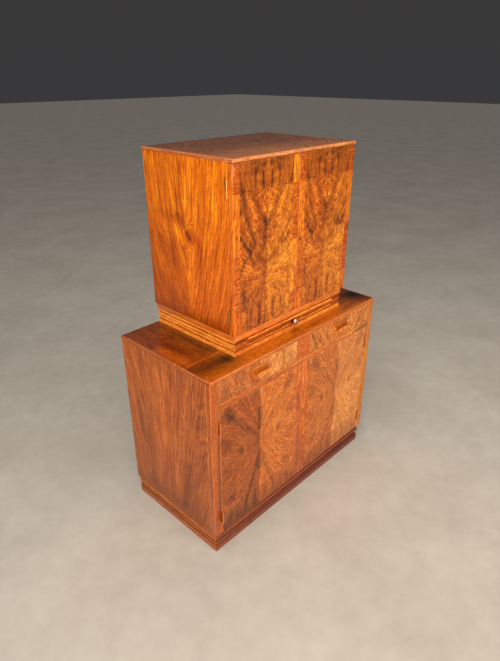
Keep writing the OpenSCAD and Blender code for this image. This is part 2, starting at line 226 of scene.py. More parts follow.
def wood(name, stops, coat, coat_rough, rough, bands=1.0, streaks=1.0, lines=1.0, clouds=1.0, pores=0.5,
         spec=0.3, wavy=0.3, tint=(1.0, 1.0, 1.0), flecks=1.0, dashes=1.0):
    """A veneer or solid wood that reads its sheet from the mesh:
    vcoord  distance along the grain, across the grain, seed of the leaf
    vtone   brightness, redness (below 0 is yellower), strength of the ripple across the grain
    vfig    strength of dark veins, contrast of the figure, wander of the grain
    arris   1 on eased edges, painted paler: partly rubbing, partly a painted highlight"""
    s = Shader(name)
    stops = [(at, (c[0] * tint[0], c[1] * tint[1], c[2] * tint[2], 1.0)) for at, c in stops]
    u, v, seed = s.split(s.attribute("vcoord").outputs["Vector"])
    bright, red, curl = s.split(s.attribute("vtone").outputs["Vector"])
    veins, figure, wander = s.split(s.attribute("vfig").outputs["Vector"])
    w = s.mul(seed, 3.71)

    # the grain wanders slowly, then ripples a little
    n1 = s.noise(s.vector(s.mul(u, 3.0), s.mul(v, 6.5), w), detail=2.0)
    n2 = s.noise(s.vector(s.mul(u, 14.0), s.mul(v, 34.0), s.add(w, 1.3)), detail=2.0)
    shift = s.mad(s.sub(n1, 0.5), 0.060, s.mul(s.sub(n2, 0.5), 0.016))
    v1 = s.mad(shift, wander, v)

    b1 = s.noise(s.vector(s.mul(u, 1.6), s.mul(v1, 52.0), s.add(w, 5.2)), detail=2.0, rough=0.6)
    b2 = s.noise(s.vector(s.mul(u, 8.0), s.mul(v1, 210.0), s.add(w, 8.1)), detail=2.0, rough=0.7)
    b3 = s.noise(s.vector(s.mul(u, 22.0), s.mul(v1, 900.0), s.add(w, 9.7)), detail=2.0, rough=0.6)
    c1 = s.noise(s.vector(s.mul(u, 9.0), s.mul(v, 13.0), s.add(w, 12.4)), detail=4.0, rough=0.55)
    # flecks: short, a little longer along the grain
    f1 = s.noise(s.vector(s.mul(u, 70.0), s.mul(v1, 330.0), s.add(w, 14.9)), detail=1.0)
    # ripple across the grain, broken up
    n3 = s.noise(s.vector(s.mul(u, 18.0), s.mul(v, 44.0), s.add(w, 3.3)), detail=1.0)
    uc = s.mad(s.sub(n3, 0.5), 0.030, u)
    c2 = s.noise(s.vector(s.mul(uc, 190.0), s.mul(v, 26.0), s.add(w, 17.0)), detail=1.0)
    # dashes, the crisp part of the figure
    d1 = s.noise(s.vector(s.mul(u, 30.0), s.mul(v1, 125.0), s.add(w, 33.0)), detail=1.5, rough=0.6)
    # small mottle, a little longer along the grain
    g1 = s.noise(s.vector(s.mul(uc, 60.0), s.mul(v1, 190.0), s.add(w, 19.0)), detail=1.0)
    # thin dark veins along some growth lines
    b4 = s.noise(s.vector(s.mul(u, 2.6), s.mul(v1, 62.0), s.add(w, 21.0)), detail=1.5)
    near = s.math("ABSOLUTE", s.sub(b4, 0.5))
    vein = s.smooth(near, 0.0, 0.055, 1.0, 0.0)
    # open pores, short dark dashes
    p1 = s.noise(s.vector(s.mul(u, 190.0), s.mul(v1, 2100.0), s.add(w, 27.0)), detail=1.0)
    pore = s.smooth(p1, 0.30, 0.40, 1.0, 0.0)

    t = s.mul(s.sub(b1, 0.5), s.mul(figure, 0.62 * bands))
    t = s.mad(s.sub(b2, 0.5), s.mul(s.add(s.mul(figure, 0.75), 0.30), 1.05 * streaks), t)
    t = s.mad(s.sub(b3, 0.5), 0.50 * lines, t)
    t = s.mad(s.sub(f1, 0.5), s.mul(s.add(figure, 0.35), 0.85 * flecks), t)
    t = s.mad(s.sub(d1, 0.5), s.mul(s.add(figure, 0.20), 0.55 * dashes), t)
    t = s.mad(s.sub(c1, 0.5), s.mul(s.add(figure, 0.2), 0.45 * clouds), t)
    t = s.mad(s.sub(c2, 0.5), s.mul(curl, 1.00), t)
    t = s.mad(s.sub(g1, 0.5), s.mul(s.add(curl, figure), 0.30), t)
    t = s.sub(t, s.mul(s.mul(vein, veins), 0.30))
    t = s.sub(t, s.mul(pore, 0.16 * pores))
    t = s.math("ADD", t, 0.56, clamp=True)
    colour = s.ramp(t, stops)
    colour = s.times(colour, s.vector(1.0, s.mad(red, -0.28, 1.0), s.mad(red, -0.45, 1.0)))
    colour = s.scaled(colour, bright)

    # paler arrises: partly rubbing, partly a painted highlight
    arris = s.attribute("arris").outputs["Fac"]
    chips = s.noise(s.place(), scale=90.0, detail=3.0)
    worn_and_highlit = s.mul(arris, s.smooth(chips, 0.36, 0.62, 0.15, 0.70))
    colour = s.mix(worn_and_highlit, colour, lin(236, 168, 112))

    scuffs = s.noise(s.place(), scale=26.0, detail=5.0, rough=0.62)
    roughness = s.math("ADD", s.mul(s.sub(scuffs, 0.5), 0.22), s.mad(pore, 0.10, rough), clamp=True)
    height = s.sub(s.mul(b3, 0.5), pore)
    wave = s.noise(s.place(), scale=11.0, detail=2.0)
    s.set(Base_Color=colour, Roughness=roughness, Normal=s.bump(height, 0.25, 0.00012),
          Coat_Weight=coat, Coat_Roughness=coat_rough, Coat_IOR=1.5, Coat_Normal=s.bump(wave, wavy, 0.0016))
    s.bsdf.inputs["Specular IOR Level"].default_value = spec
    return s.material


def metal(name, colour, dark, rough, grime=0.4, upper=None, neck=None, lower=None):
    """upper is the colour of the pieces near the top, paler as a painted highlight; lower that of
    the ones below the tops; neck is a plane across y: what lies behind it is darkened as painted shade."""
    s = Shader(name)
    p = s.place()
    # painted shade: behind the neck plane the colour goes to the dark one
    if neck:
        colour = s.mix(s.smooth(s.split(p)[1], neck - 0.0012, neck + 0.0016), colour, dark)
    if lower:
        colour = s.mix(s.smooth(s.split(p)[2], 0.70, 0.75), lower, colour)
    # painted highlight: the pieces near the top take the paler upper colour
    if upper:
        colour = s.mix(s.smooth(s.split(p)[2], 1.0, 1.15), colour, upper)
    n1 = s.noise(p, scale=60.0, detail=5.0, rough=0.6)
    n2 = s.noise(p, scale=900.0, detail=2.0)
    tarnish = s.smooth(n1, 0.42, 0.72, 0.0, grime)
    s.set(Base_Color=s.mix(tarnish, colour, dark), Metallic=1.0,
          Roughness=s.math("ADD", s.mul(tarnish, 0.35), s.mad(s.sub(n2, 0.5), 0.12, rough), clamp=True),
          Normal=s.bump(n2, 0.2, 0.00004))
    return s.material


def mirror_material():
    s = Shader("silvered_mirror")
    p = s.place()
    spots = s.noise(p, scale=34.0, detail=6.0, rough=0.7)
    foxing = s.smooth(spots, 0.66, 0.76, 0.0, 0.6)
    s.set(Base_Color=s.mix(foxing, (0.86, 0.88, 0.88, 1), (0.30, 0.27, 0.22, 1)), Metallic=1.0,
          Roughness=s.mad(foxing, 0.4, 0.02))
    return s.material


def glass_material():
    s = Shader("shelf_glass")
    p = s.place()
    smear = s.noise(p, scale=18.0, detail=4.0, rough=0.6)
    s.set(Base_Color=(0.90, 0.97, 0.94, 1), Roughness=s.smooth(smear, 0.5, 0.8, 0.01, 0.07))
    s.bsdf.inputs["Transmission Weight"].default_value = 1.0
    s.bsdf.inputs["IOR"].default_value = 1.5
    return s.material


UPPER = (1.0, 1.0, 0.44)
M = {
    "veneer": wood("walnut_veneer_polished", WALNUT, 0.45, 0.16, 0.45, spec=0.2, streaks=1.2, flecks=1.5, dashes=1.4),
    "side_l": wood("walnut_veneer_side", WALNUT, 0.45, 0.16, 0.45, spec=0.2, streaks=1.8, flecks=0.6, dashes=0.5),
    "veneer_pale": wood("walnut_veneer_pale", WALNUT, 0.45, 0.16, 0.45, spec=0.2, tint=(1.0, 1.01, 1.45)),
    "veneer_u": wood("walnut_veneer_upper", WALNUT, 0.45, 0.16, 0.45, spec=0.2, tint=UPPER),
    "side_u": wood("walnut_veneer_flank", WALNUT, 0.45, 0.16, 0.45, spec=0.15, tint=(1.03, 0.96, 0.16),
                   streaks=1.45, lines=1.5, flecks=0.50, dashes=0.40),
    "top": wood("walnut_top_polished", WALNUT, 1.0, 0.06, 0.38, tint=(1.0, 0.88, 0.10)),
    "top_u": wood("walnut_top_upper", WALNUT, 1.0, 0.08, 0.38, tint=(0.95, 1.19, 3.3)),
    "edge_u": wood("walnut_edging_upper", STRAIGHT, 0.45, 0.16, 0.45, bands=0.8, clouds=0.7, spec=0.2, tint=(0.99, 1.03, 2.6)),
    "straight": wood("walnut_straight_polished", STRAIGHT, 0.45, 0.16, 0.45, bands=0.8, clouds=0.7, spec=0.2),
    "straight_u": wood("walnut_straight_upper", STRAIGHT, 0.45, 0.16, 0.45, bands=0.8, clouds=0.7, spec=0.2, tint=(1.0, 0.98, 0.30)),
    "moulding": wood("walnut_moulding_polished", STRAIGHT, 0.6, 0.14, 0.42, bands=0.7, clouds=0.8, spec=0.3),
    "inside": wood("sycamore_satin", SYCAMORE, 0.25, 0.28, 0.5, bands=0.5, clouds=0.6, pores=0.1),
    "oak": wood("oak_waxed", OAK, 0.06, 0.4, 0.58, bands=0.6, pores=1.0),
    "ply": wood("plywood_plain", OAK, 0.0, 0.5, 0.66, bands=0.9, streaks=0.7, pores=0.4),
    "brass": metal("brass_polished", (0.66, 0.40, 0.27, 1), (0.10, 0.035, 0.012, 1), 0.40, 0.2, neck=-0.1752),
    "brass_old": metal("brass_old", (0.52, 0.27, 0.09, 1), (0.34, 0.15, 0.045, 1), 0.40, 0.6, (1.0, 0.78, 0.50, 1)),
    "brass_hinge": metal("brass_hinge", (0.52, 0.27, 0.09, 1), (0.34, 0.15, 0.045, 1), 0.40, 0.6, (0.95, 0.53, 0.20, 1),
                         lower=(0.88, 0.38, 0.17, 1)),
    "brass_dark": metal("brass_darkened", (0.20, 0.085, 0.03, 1), (0.08, 0.03, 0.012, 1), 0.45, 0.6),
    "mirror": mirror_material(),
    "glass": glass_material(),
}


# ------------------------------------------------------------------ meshes from the frame

def source(node):
    """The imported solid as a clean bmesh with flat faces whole."""
    bm = bmesh.new()
    bm.from_mesh(NODES[node].data)
    bmesh.ops.remove_doubles(bm, verts=bm.verts, dist=2e-6)
    bmesh.ops.dissolve_limit(bm, angle_limit=math.radians(0.6), verts=bm.verts, edges=bm.edges)
    for layer in list(bm.loops.layers.uv.values()):
        bm.loops.layers.uv.remove(layer)
    bm.normal_update()
    return bm


def islands(bm):
    left = set(bm.verts)
    while left:
        first = left.pop()
        found, todo = {first}, [first]
        while todo:
            for e in todo.pop().link_edges:
                for v in e.verts:
                    if v not in found:
                        found.add(v)
                        todo.append(v)
        left -= found
        yield found


def ease(bm, width, segments=2, least=0.004, box_only=True, wear_and_highlight=1.0):
    """Rounds the outer arrises a little; the new faces are marked as arris, which the wood shader paints paler, partly
    as rubbing and partly as a painted highlight.
    """
    layer = bm.faces.layers.float.get("arris") or bm.faces.layers.float.new("arris")
    chosen = []
    for verts in islands(bm):
        lo = Vector([min(v.co[i] for v in verts) for i in range(3)])
        hi = Vector([max(v.co[i] for v in verts) for i in range(3)])
        for e in {e for v in verts for e in v.link_edges}:
            if len(e.link_faces) != 2 or e.calc_length() < least:
                continue
            if e.calc_face_angle_signed(0.0) < math.radians(55):
                continue
            if box_only:
                sides = 0
                for i in range(3):
                    a, b = e.verts[0].co[i], e.verts[1].co[i]
                    if abs(a - b) < 1e-6 and (abs(a - lo[i]) < 1e-6 or abs(a - hi[i]) < 1e-6):
                        sides += 1
                if sides < 2:
                    continue
            chosen.append(e)
    if not chosen:
        return bm
    made = bmesh.ops.bevel(bm, geom=chosen, offset=width, offset_type="OFFSET", segments=segments,
                           profile=0.5, affect="EDGES", clamp_overlap=True)
    for f in made["faces"]:
        f[layer] = wear_and_highlight
    bm.normal_update()
    return bm


def cut(bm, axis, places, keep):
    """Splits the faces that keep() picks along planes across an axis."""
    normal = Vector([1.0 if i == axis else 0.0 for i in range(3)])
    faces = [f for f in bm.faces if keep(f)]
    for at in places:
        crossing, rest = [], []
        for f in faces:
            c = [v.co[axis] for v in f.verts]
            (crossing if min(c) < at - 1e-6 and max(c) > at + 1e-6 else rest).append(f)
        if not crossing:
            continue
        geom = set(crossing)
        for f in crossing:
            geom.update(f.edges)
            geom.update(f.verts)
        made = bmesh.ops.bisect_plane(bm, geom=list(geom), dist=1e-7, plane_co=normal * at, plane_no=normal)
        faces = rest + [g for g in made["geom"] if isinstance(g, bmesh.types.BMFace)]
    bm.normal_update()


def steps(lo, hi, size):
    n = max(1, round((hi - lo) / size))
    return [lo + (hi - lo) * i / n for i in range(1, n)]


def piece(bm, name, body, nodes, paint, materials):
    """Paints the leaves on the mesh and hangs it on its body in place of the CAD nodes.
    paint(centre, normal, face) gives (material number, map(co, n), tone(co), figure(co))."""
    vcoord = bm.loops.layers.float_vector.new("vcoord")
    vtone = bm.loops.layers.float_vector.new("vtone")
    vfig = bm.loops.layers.float_vector.new("vfig")
    if bm.faces.layers.float.get("arris") is None:
        bm.faces.layers.float.new("arris")
    for f in bm.faces:
        number, place, tone, figure = paint(f.calc_center_median(), f.normal, f)
        f.material_index = number
        for loop in f.loops:
            co = loop.vert.co
            loop[vcoord] = Vector(place(co, f.normal))
            loop[vtone] = Vector(tone(co) if callable(tone) else tone)
            loop[vfig] = Vector(figure(co) if callable(figure) else figure)
    mesh = bpy.data.meshes.new(name)
    bm.to_mesh(mesh)
    bm.free()
    for m in materials:
        mesh.materials.append(M[m])
    mesh.shade_smooth()
    mesh.set_sharp_from_angle(angle=math.radians(32))
    obj = bpy.data.objects.new(name, mesh)
    bpy.context.scene.collection.objects.link(obj)
    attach(obj, body)
    if nodes:
        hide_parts(*nodes)
    return obj


# ------------------------------------------------------------------ leaves of veneer

AXIS = {"x": 0, "y": 1, "z": 2}


def along(axis, seed, du=0.0, dv=0.0, turn=0.0):
    """Straight grain along an axis; the other in-plane axis runs across it."""
    g = AXIS[axis]
    others = [i for i in range(3) if i != g]
    c, s = math.cos(turn), math.sin(turn)

    def place(co, n):
        if abs(n[g]) > 0.8:      # end grain
            return (co[others[0]] * 0.25, co[others[1]], seed)
        cross = others[0] if abs(n[others[0]]) < abs(n[others[1]]) else others[1]
        a, b = co[g] + du, co[cross] + dv
        if turn:
            a, b = a * c + b * s, b * c - a * s
        return (a, b, seed)
    return place


def round_moulding(axis, seed):
    """Grain along a moulding, continuous round its profile."""
    g = AXIS[axis]
    o = [i for i in range(3) if i != g]
    return lambda co, n: (co[g], co[o[0]] + co[o[1]], seed)


def quarter(ax, az, cx, cz, far, seed, spread=1.0, swirls=()):
    """One of four leaves matched about (cx, cz). far is the point, past the centre,
    that the grain fans from, in the leaf's own outward coordinates."""
    r0 = math.hypot(*far) + 0.15

    def place(co, n):
        p, q = abs(co[ax] - cx), abs(co[az] - cz)
        for sp, sq, radius, force in swirls:
            d2 = ((p - sp) ** 2 + (q - sq) ** 2) / radius ** 2
            a = force * math.exp(-d2)
            dp, dq = p - sp, q - sq
            p = sp + dp * math.cos(a) - dq * math.sin(a)
            q = sq + dp * math.sin(a) + dq * math.cos(a)
        x, y = p + far[0], q + far[1]
        return (math.hypot(x, y), math.atan2(y, x) * r0 * spread, seed)
    return place


def eye(place, ax, az, ex, ez, radius, scale=1.0):
    """Bends a leaf's growth lines round an eye."""
    def bent(co, n):
        u, v, seed = place(co, n)
        dx, dz = co[ax] - ex, (co[az] - ez) / scale
        d = math.hypot(dx, dz)
        w = math.exp(-(d / radius) ** 2)
        return (u * (1 - w) + w * math.atan2(dz, dx) * radius * 0.3, v * (1 - w) + w * d * 1.6, seed)
    return bent


def blobs(base, *spots):
    """A tone or figure that changes smoothly: spots are (ax, az, x, z, rx, rz, change)."""
    def value(co):
        t = list(base)
        for ax, az, x, z, rx, rz, change in spots:
            g = math.exp(-((co[ax] - x) / rx) ** 2 - ((co[az] - z) / rz) ** 2)
            for i in range(3):
                t[i] += change[i] * g
        return t
    return value


def strokes(base, axes, centre, marks, mirror=True, gain=1.0):
    """A tone with soft brush marks. marks are (width, brightness, redness, half, a, b, a, b, ...),
    all lengths in millimetres: a is measured from centre along axes[0] (to both sides when
    mirror), b along axes[1]; half 1 or -1 keeps a mark to one side, 0 has it on both."""
    ax, az = axes
    made = []
    for width, bright, red, half, *path in marks:
        points = [(path[i] / 1000, path[i + 1] / 1000) for i in range(0, len(path), 2)]
        if len(points) == 1:
            points *= 2
        reach = width / 1000 * 2.3
        box = (min(a for a, b in points) - reach, max(a for a, b in points) + reach,
               min(b for a, b in points) - reach, max(b for a, b in points) + reach)
        made.append((width / 1000, bright * gain, red, half, points, box))
    known = {}

    def value(co):
        key = (round(co[ax], 5), round(co[az], 5))
        if key in known:
            return known[key]
        d = co[ax] - centre
        side = 1 if d > 0 else -1
        a, b = (abs(d) if mirror else d), co[az]
        t = list(base(co)) if callable(base) else list(base)
        for width, bright, red, half, points, box in made:
            if (half and half != side) or not (box[0] < a < box[1] and box[2] < b < box[3]):
                continue
            best = 1e9
            for (x0, y0), (x1, y1) in zip(points, points[1:]):
                dx, dy = x1 - x0, y1 - y0
                n = dx * dx + dy * dy
                k = max(0.0, min(1.0, ((a - x0) * dx + (b - y0) * dy) / n)) if n else 0.0
                best = min(best, (a - x0 - k * dx) ** 2 + (b - y0 - k * dy) ** 2)
            g = math.exp(-best / width ** 2)
            t[0] += bright * g
            t[1] += red * g
        known[key] = t
        return t
    return value


def veined(tone, base, veins, figure, wander, pull=1.6):
    """A figure whose dark veins gather where a tone is darker than its base."""
    def value(co):
        level = base(co)[0] if callable(base) else base[0]
        return (veins + pull * max(0.0, level - tone(co)[0]), figure, wander)
    return value


def plain(axis, seed, tone=(1.0, 0.2, 0.1), figure=(0.2, 0.6, 0.4), number=0):
    place = along(axis, seed)
    return lambda c, n, f: (number, place, tone, figure)


def facing(axis, sign):
    return lambda f: f.normal[axis] * sign > 0.9


# ------------------------------------------------------------------ upper doors

DX_OUT, DX_IN = 0.2720, 0.0315        # field of a door, from the middle of the cabinet
DZ = (0.8760, 1.0600, 1.2440)         # joints of the leaves, from the bottom


FLANK_MID = 0.046


def flank(side):
    """Grain of the upper cabinet's side, two leaves matched at the middle, which the
    door's edge carries on."""
    def place(co, n):
        h = co.z - 0.798
        lean = 0.27 * h - 0.22 * 0.045 * math.log(1 + math.exp((h - 0.34) / 0.045))
        return (co.z, (abs(co.y - FLANK_MID) - lean) * 0.95, 101.0 + side)
    return place


def flank_tone(co, lead=0.0, shade=1.0):
    k = (co.z - 1.06) / 0.27      # redder and darker towards the foot
    foot = shade * math.exp(-((co.z - 0.798) / 0.034) ** 2)
    return (1.24 + lead + 0.10 * k - (0.50 + lead) * foot, 0.70 - 0.30 * k + 0.25 * foot, 0.06)


def upper_door(side):
    name = "upper_left_door" if side < 0 else "upper_right_door"
    bm = ease(source(name), 0.0011, wear_and_highlight=0.35)
    front = facing(1, -1)
    xin, xout, xc = side * DX_IN, side * DX_OUT, side * (DX_IN + DX_OUT) / 2
    cut(bm, 0, sorted([xin, xout, xc]), front)
    cut(bm, 2, DZ, front)
    field = lambda f: front(f) and DX_IN < abs(f.calc_center_median().x) < DX_OUT
    cut(bm, 0, steps(min(xin, xout), xc, 0.0045) + steps(xc, max(xin, xout), 0.0045), field)
    cut(bm, 2, steps(0.799, DZ[0], 0.0045) + steps(DZ[0], DZ[1], 0.0045) + steps(DZ[1], DZ[2], 0.0045)
        + steps(DZ[2], 1.328, 0.0045), field)

    zc = DZ[1]
    grain = quarter(0, 2, xc, zc, (0.236, 0.379), 1.0, spread=0.9, swirls=((0.100, 0.040, 0.035, 0.30),))
    low = quarter(0, 2, xc, zc, (0.030, -0.105), 1.6, spread=0.45)
    tones = UPPER_FIELD[side]
    gain = 1.0 if side < 0 else 0.75
    marks = UPPER_MARKS + (UPPER_RIGHT_MARKS if side > 0 else UPPER_LEFT_MARKS)
    tone = {key: strokes(base, (0, 2), xc, marks, gain=gain) for key, base in tones.items()}
    vein = {key: veined(tone[key], base, 0.05, 0.45, 0.40) for key, base in tones.items()}

    def paint(c, n, f):
        if n.y > -0.5:
            if n.y > 0.5:
                return (1, along("z", 31 + side), (0.92, 0.0, 0.45), (0.1, 0.5, 0.6))
            if abs(n.x) > 0.5 and n.x * side > 0:
                return (3, flank(side), lambda co: flank_tone(co, 0.06, 0.0), (0.05, 0.55, 0.2))
            return (2, along("z" if abs(n.x) > 0.5 else "x", 41 + side), (1.02, 0.55, 0.1), (0.1, 0.5, 0.3))
        x, z = abs(c.x), c.z
        level = 3 if z > DZ[2] else 2 if z > DZ[1] else 1 if z > DZ[0] else 0
        if x > DX_OUT or x < DX_IN:
            outer = x > DX_OUT
            cross, bright, red = UPPER_BANDS[(side, outer)][level]
            seed = 50 + side * 7 + level * 3 + (20 if outer else 0)
            return (2, along("x" if cross else "z", seed), (bright, red, 0.30 if cross else 0.08),
                    (0.10, 0.8, 0.12) if cross else (0.0, 0.9, 0.10))
        if level in (0, 3):
            place = lambda co, nn: (co.z, abs(co.x - xc), 5.0 + level)
            key = ("t" if level == 3 else "b") + ("1" if c.x > xc else "0")
            return (0, place, tone[key], vein[key])
        right = c.x > xc
        key = ("u" if level == 2 else "l") + ("1" if right else "0")
        return (0, grain if level == 2 else low, tone[key], vein[key])

    piece(bm, name + "_veneered", "left_upper_door" if side < 0 else "right_upper_door", [name],
          paint, ["veneer_u", "inside", "straight_u", "side_u"])


# marks of the matched figure: width, brightness, redness, half, then points in mm,
# from the joint of the two leaves and from the floor
UPPER_MARKS = (
    (6.6, -0.37, 0.1, 0, 76, 1243, 50, 1208, 24, 1168, 5, 1138),
    (8.8, -0.43, 0.05, -1, 104, 1243, 96, 1190, 84, 1155, 70, 1120, 56, 1085),
    (5.5, -0.22, 0.05, 1, 100, 1243, 92, 1195, 78, 1155, 64, 1125),
    (5.5, -0.71, 0.0, -1, 118, 1116, 104, 1098, 90, 1078, 74, 1060),
    (5, -0.43, 0.0, 1, 112, 1100, 98, 1082, 84, 1063),
    (4.4, -0.37, 0.0, 0, 98, 1118, 80, 1096, 62, 1074),
    (11, 0.31, -0.1, 0, 56, 1164, 54, 1138),
    (9.9, 0.25, -0.1, 0, 94, 1112, 80, 1104),
    (15.4, 0.19, -0.05, 0, 30, 1235, 12, 1190),
    (6.6, 0.22, -0.05, 0, 86, 1228, 66, 1190, 52, 1160),
    (4.4, 0.19, 0.0, 0, 112, 1190, 100, 1150, 84, 1125),
    (13.2, -0.34, 0.05, -1, 6, 1150, 10, 1110, 14, 1070),
    (11, -0.12, 0.10, 1, 8, 1140, 10, 1080),
    (3.3, -0.19, 0.0, 0, 0, 1124, 60, 1120),
    (3.3, -0.16, 0.0, 0, 0, 1098, 48, 1096),
    (8.8, 0.50, 0.3, 0, 120, 1092, 122, 1064),
    (8.8, 0.40, 0.3, 0, 122, 1050, 118, 1036),
    (6.6, -0.46, 0.05, -1, 120, 1000, 108, 1028, 92, 1044, 74, 1053),
    (5.5, -0.25, 0.05, 1, 118, 1002, 106, 1030, 90, 1046),
    (5.5, -0.53, 0.0, -1, 70, 1042, 60, 1024, 62, 1012),
    (5.5, -0.31, 0.0, 1, 60, 1046, 50, 1030),
    (6.6, -0.34, 0.1, 0, 2, 1012, 24, 1030, 44, 1050),
    (12.1, 0.28, -0.05, 0, 86, 1016, 74, 1010),
    (11, -0.28, 0.05, -1, 8, 1000, 14, 970),
    (7.7, 0.37, -0.1, 0, 64, 961, 44, 958),
    (5.5, 0.19, -0.05, 0, 40, 992, 14, 988),
    (14.3, -0.40, 0.1, -1, 104, 935, 100, 885),
    (9.9, -0.12, 0.1, 1, 108, 925, 104, 890),
    (12.1, 0.28, -0.15, 1, 10, 945, 22, 890),
    (3.9, -0.28, 0.05, 0, 8, 948, 26, 905, 38, 880),
    (3.9, -0.23, 0.0, 0, 16, 948, 50, 912, 74, 880),
    (3.9, -0.19, 0.0, 0, 26, 948, 70, 925, 112, 905),
    (3.9, 0.19, 0.0, 0, 16, 942, 36, 896),
    (3.9, 0.19, 0.0, 0, 32, 938, 80, 902),
    (3.9, -0.34, 0.0, 0, 29, 872, 27, 842),
    (9.9, -0.18, 0.05, -1, 34, 832, 32, 802),
    (6.6, 0.37, -0.05, 0, 14, 870, 16, 840),
    (4.4, -0.34, 0.0, 0, 70, 874, 72, 830),
    (4.4, 0.28, 0.0, 0, 52, 872, 54, 840),
    (5.5, 0.25, 0.0, 0, 108, 872, 106, 840),
    (4.4, -0.28, 0.0, 0, 92, 872, 92, 810),
    (4.4, -0.25, 0.0, 0, 3, 862, 4, 804),
    (15.4, -0.18, 0.0, 0, 60, 1320, 20, 1314),
    (11, -0.16, 0.0, 1, 20, 1325, 100, 1322),
    (5.5, 0.31, 0.1, 0, 8, 1296, 7, 1250),
    (5.5, -0.40, 0.0, 0, 21, 1290, 20, 1248),
    (6.6, 0.22, 0.0, 0, 42, 1285, 44, 1250),
    (6.6, 0.25, 0.0, 0, 66, 1280, 68, 1255),
    (4.4, -0.31, 0.0, 0, 55, 1300, 54, 1248),
    (5.5, 0.25, 0.0, 0, 88, 1272, 90, 1250),
    (5.5, -0.28, 0.0, 0, 112, 1272, 110, 1248),
)
UPPER_LEFT_MARKS = ((9.9, -0.18, 0.0, -1, 112, 1236, 110, 1190),)
UPPER_RIGHT_MARKS = (
    (15.4, -0.31, -0.1, 1, 60, 1092, 92, 1068),
    (8.8, 0.28, -0.1, 1, 60, 1196, 86, 1190),
    (7.7, -0.36, 0.1, 1, 112, 1104, 102, 1062),
    (15.4, 0.17, -0.1, 1, 80, 915, 60, 890),
    (11, -0.20, 0.0, -1, 100, 1120, 84, 1070),
)
# brightness, redness and ripple of each leaf: t top band, u and l upper and lower
# quarters, b bottom band; 0 left half, 1 right half
UPPER_FIELD = {
    -1: {"t0": (0.63, 0.70, 0.60), "t1": (0.70, 0.55, 0.60), "u0": (0.80, 0.80, 0.70), "u1": (1.00, 0.25, 0.70),
         "l0": (0.82, 0.80, 0.70), "l1": (1.08, 0.00, 0.70), "b0": (0.73, 0.95, 0.60), "b1": (0.93, 0.25, 0.60)},
    1: {"t0": (0.62, 0.72, 0.60), "t1": (0.60, 0.66, 0.60), "u0": (0.86, 0.80, 0.70), "u1": (0.85, 0.45, 0.70),
        "l0": (0.93, 0.55, 0.70), "l1": (1.05, -0.05, 0.70), "b0": (0.78, 0.70, 0.60), "b1": (0.96, 0.15, 0.60)},
}
# bands beside the fields, from the bottom up: (grain across, brightness, redness)
UPPER_BANDS = {
    (-1, True): ((0, 0.92, 1.00), (1, 0.86, 0.95), (0, 1.10, 0.20), (1, 0.77, 0.95)),
    (-1, False): ((1, 0.93, 0.80), (0, 1.30, -0.30), (1, 0.91, 0.85), (0, 1.24, -0.60)),
    (1, False): ((0, 1.16, 0.70), (1, 0.87, 0.90), (0, 1.08, 0.25), (1, 0.72, 0.90)),
    (1, True): ((0, 0.97, 0.90), (1, 0.82, 1.45), (0, 1.08, 0.25), (1, 0.68, 0.90)),
}

upper_door(-1)
upper_door(1)


# ------------------------------------------------------------------ lower doors

LX_IN = 0.0360
LZ = (0.1700, 0.3880)


def lower_door(side):
    name = "lower_left_door" if side < 0 else "lower_right_door"
    bm = ease(source(name), 0.0010)
    front = facing(1, -1)
    xo = 0.4205
    xc = side * (LX_IN + xo) / 2
    xin = side * LX_IN
    cut(bm, 0, sorted([xin, xc]), front)
    field = lambda f: front(f) and abs(f.calc_center_median().x) > LX_IN
    cut(bm, 2, LZ, field)
    lo, hi = sorted([xin, side * xo])
    cut(bm, 0, steps(lo, xc, 0.006) + steps(xc, hi, 0.006), field)
    cut(bm, 2, steps(0.084, LZ[0], 0.006) + steps(LZ[0], LZ[1], 0.006) + steps(LZ[1], 0.603, 0.006), field)

    zc = LZ[1]
    grain = quarter(0, 2, xc, zc, (0.050, 0.070), 71.0, spread=0.8, swirls=((0.120, 0.150, 0.045, 0.5),))
    tone, vein = {}, {}
    for key, base in LOWER_FIELD[side].items():
        low = blobs(base, (0, 2, xc, 0.080, 9.0, 0.045, (-0.24, 0.10, 0.0)))
        tone[key] = strokes(low, (0, 2), xc, LOWER_MARKS, gain=1.0 if side < 0 else 0.85)
        vein[key] = veined(tone[key], low, 0.03, 0.24, 0.40, pull=1.0)
    band = LOWER_BANDS[side]

    def paint(c, n, f):
        if n.y > -0.5:
            if n.y > 0.5:
                return (1, along("z", 33 + side), (0.92, 0.0, 0.45), (0.1, 0.5, 0.6))
            return (2, along("z" if abs(n.x) > 0.5 else "x", 43 + side), (0.80, 0.5, 0.1), (0.1, 0.5, 0.3))
        level = 0 if c.z < LZ[0] else 1 if c.z < zc else 2
        if abs(c.x) < LX_IN:
            return (2, along("z", 60 + side), blobs(band, (0, 2, 0.0, 0.084, 9.0, 0.100, (-0.34, 0.7, 0)), (0, 2, 0.0, 0.35, 9.0, 0.10, (-0.02, 0.2, 0))), (0.0, 0.9, 0.2))
        key = (1 if c.x > xc else 0, level)
        sort = 3 if side > 0 and key[0] else 0
        if level == 0:
            place = lambda co, nn: (co.z, abs(co.x - xc), 74.0)
            return (sort, place, tone[key], vein[key])
        return (sort, grain, tone[key], vein[key])

    piece(bm, name + "_veneered", "left_lower_door" if side < 0 else "right_lower_door", [name],
          paint, ["veneer", "inside", "straight"] + (["veneer_pale"] if side > 0 else []))


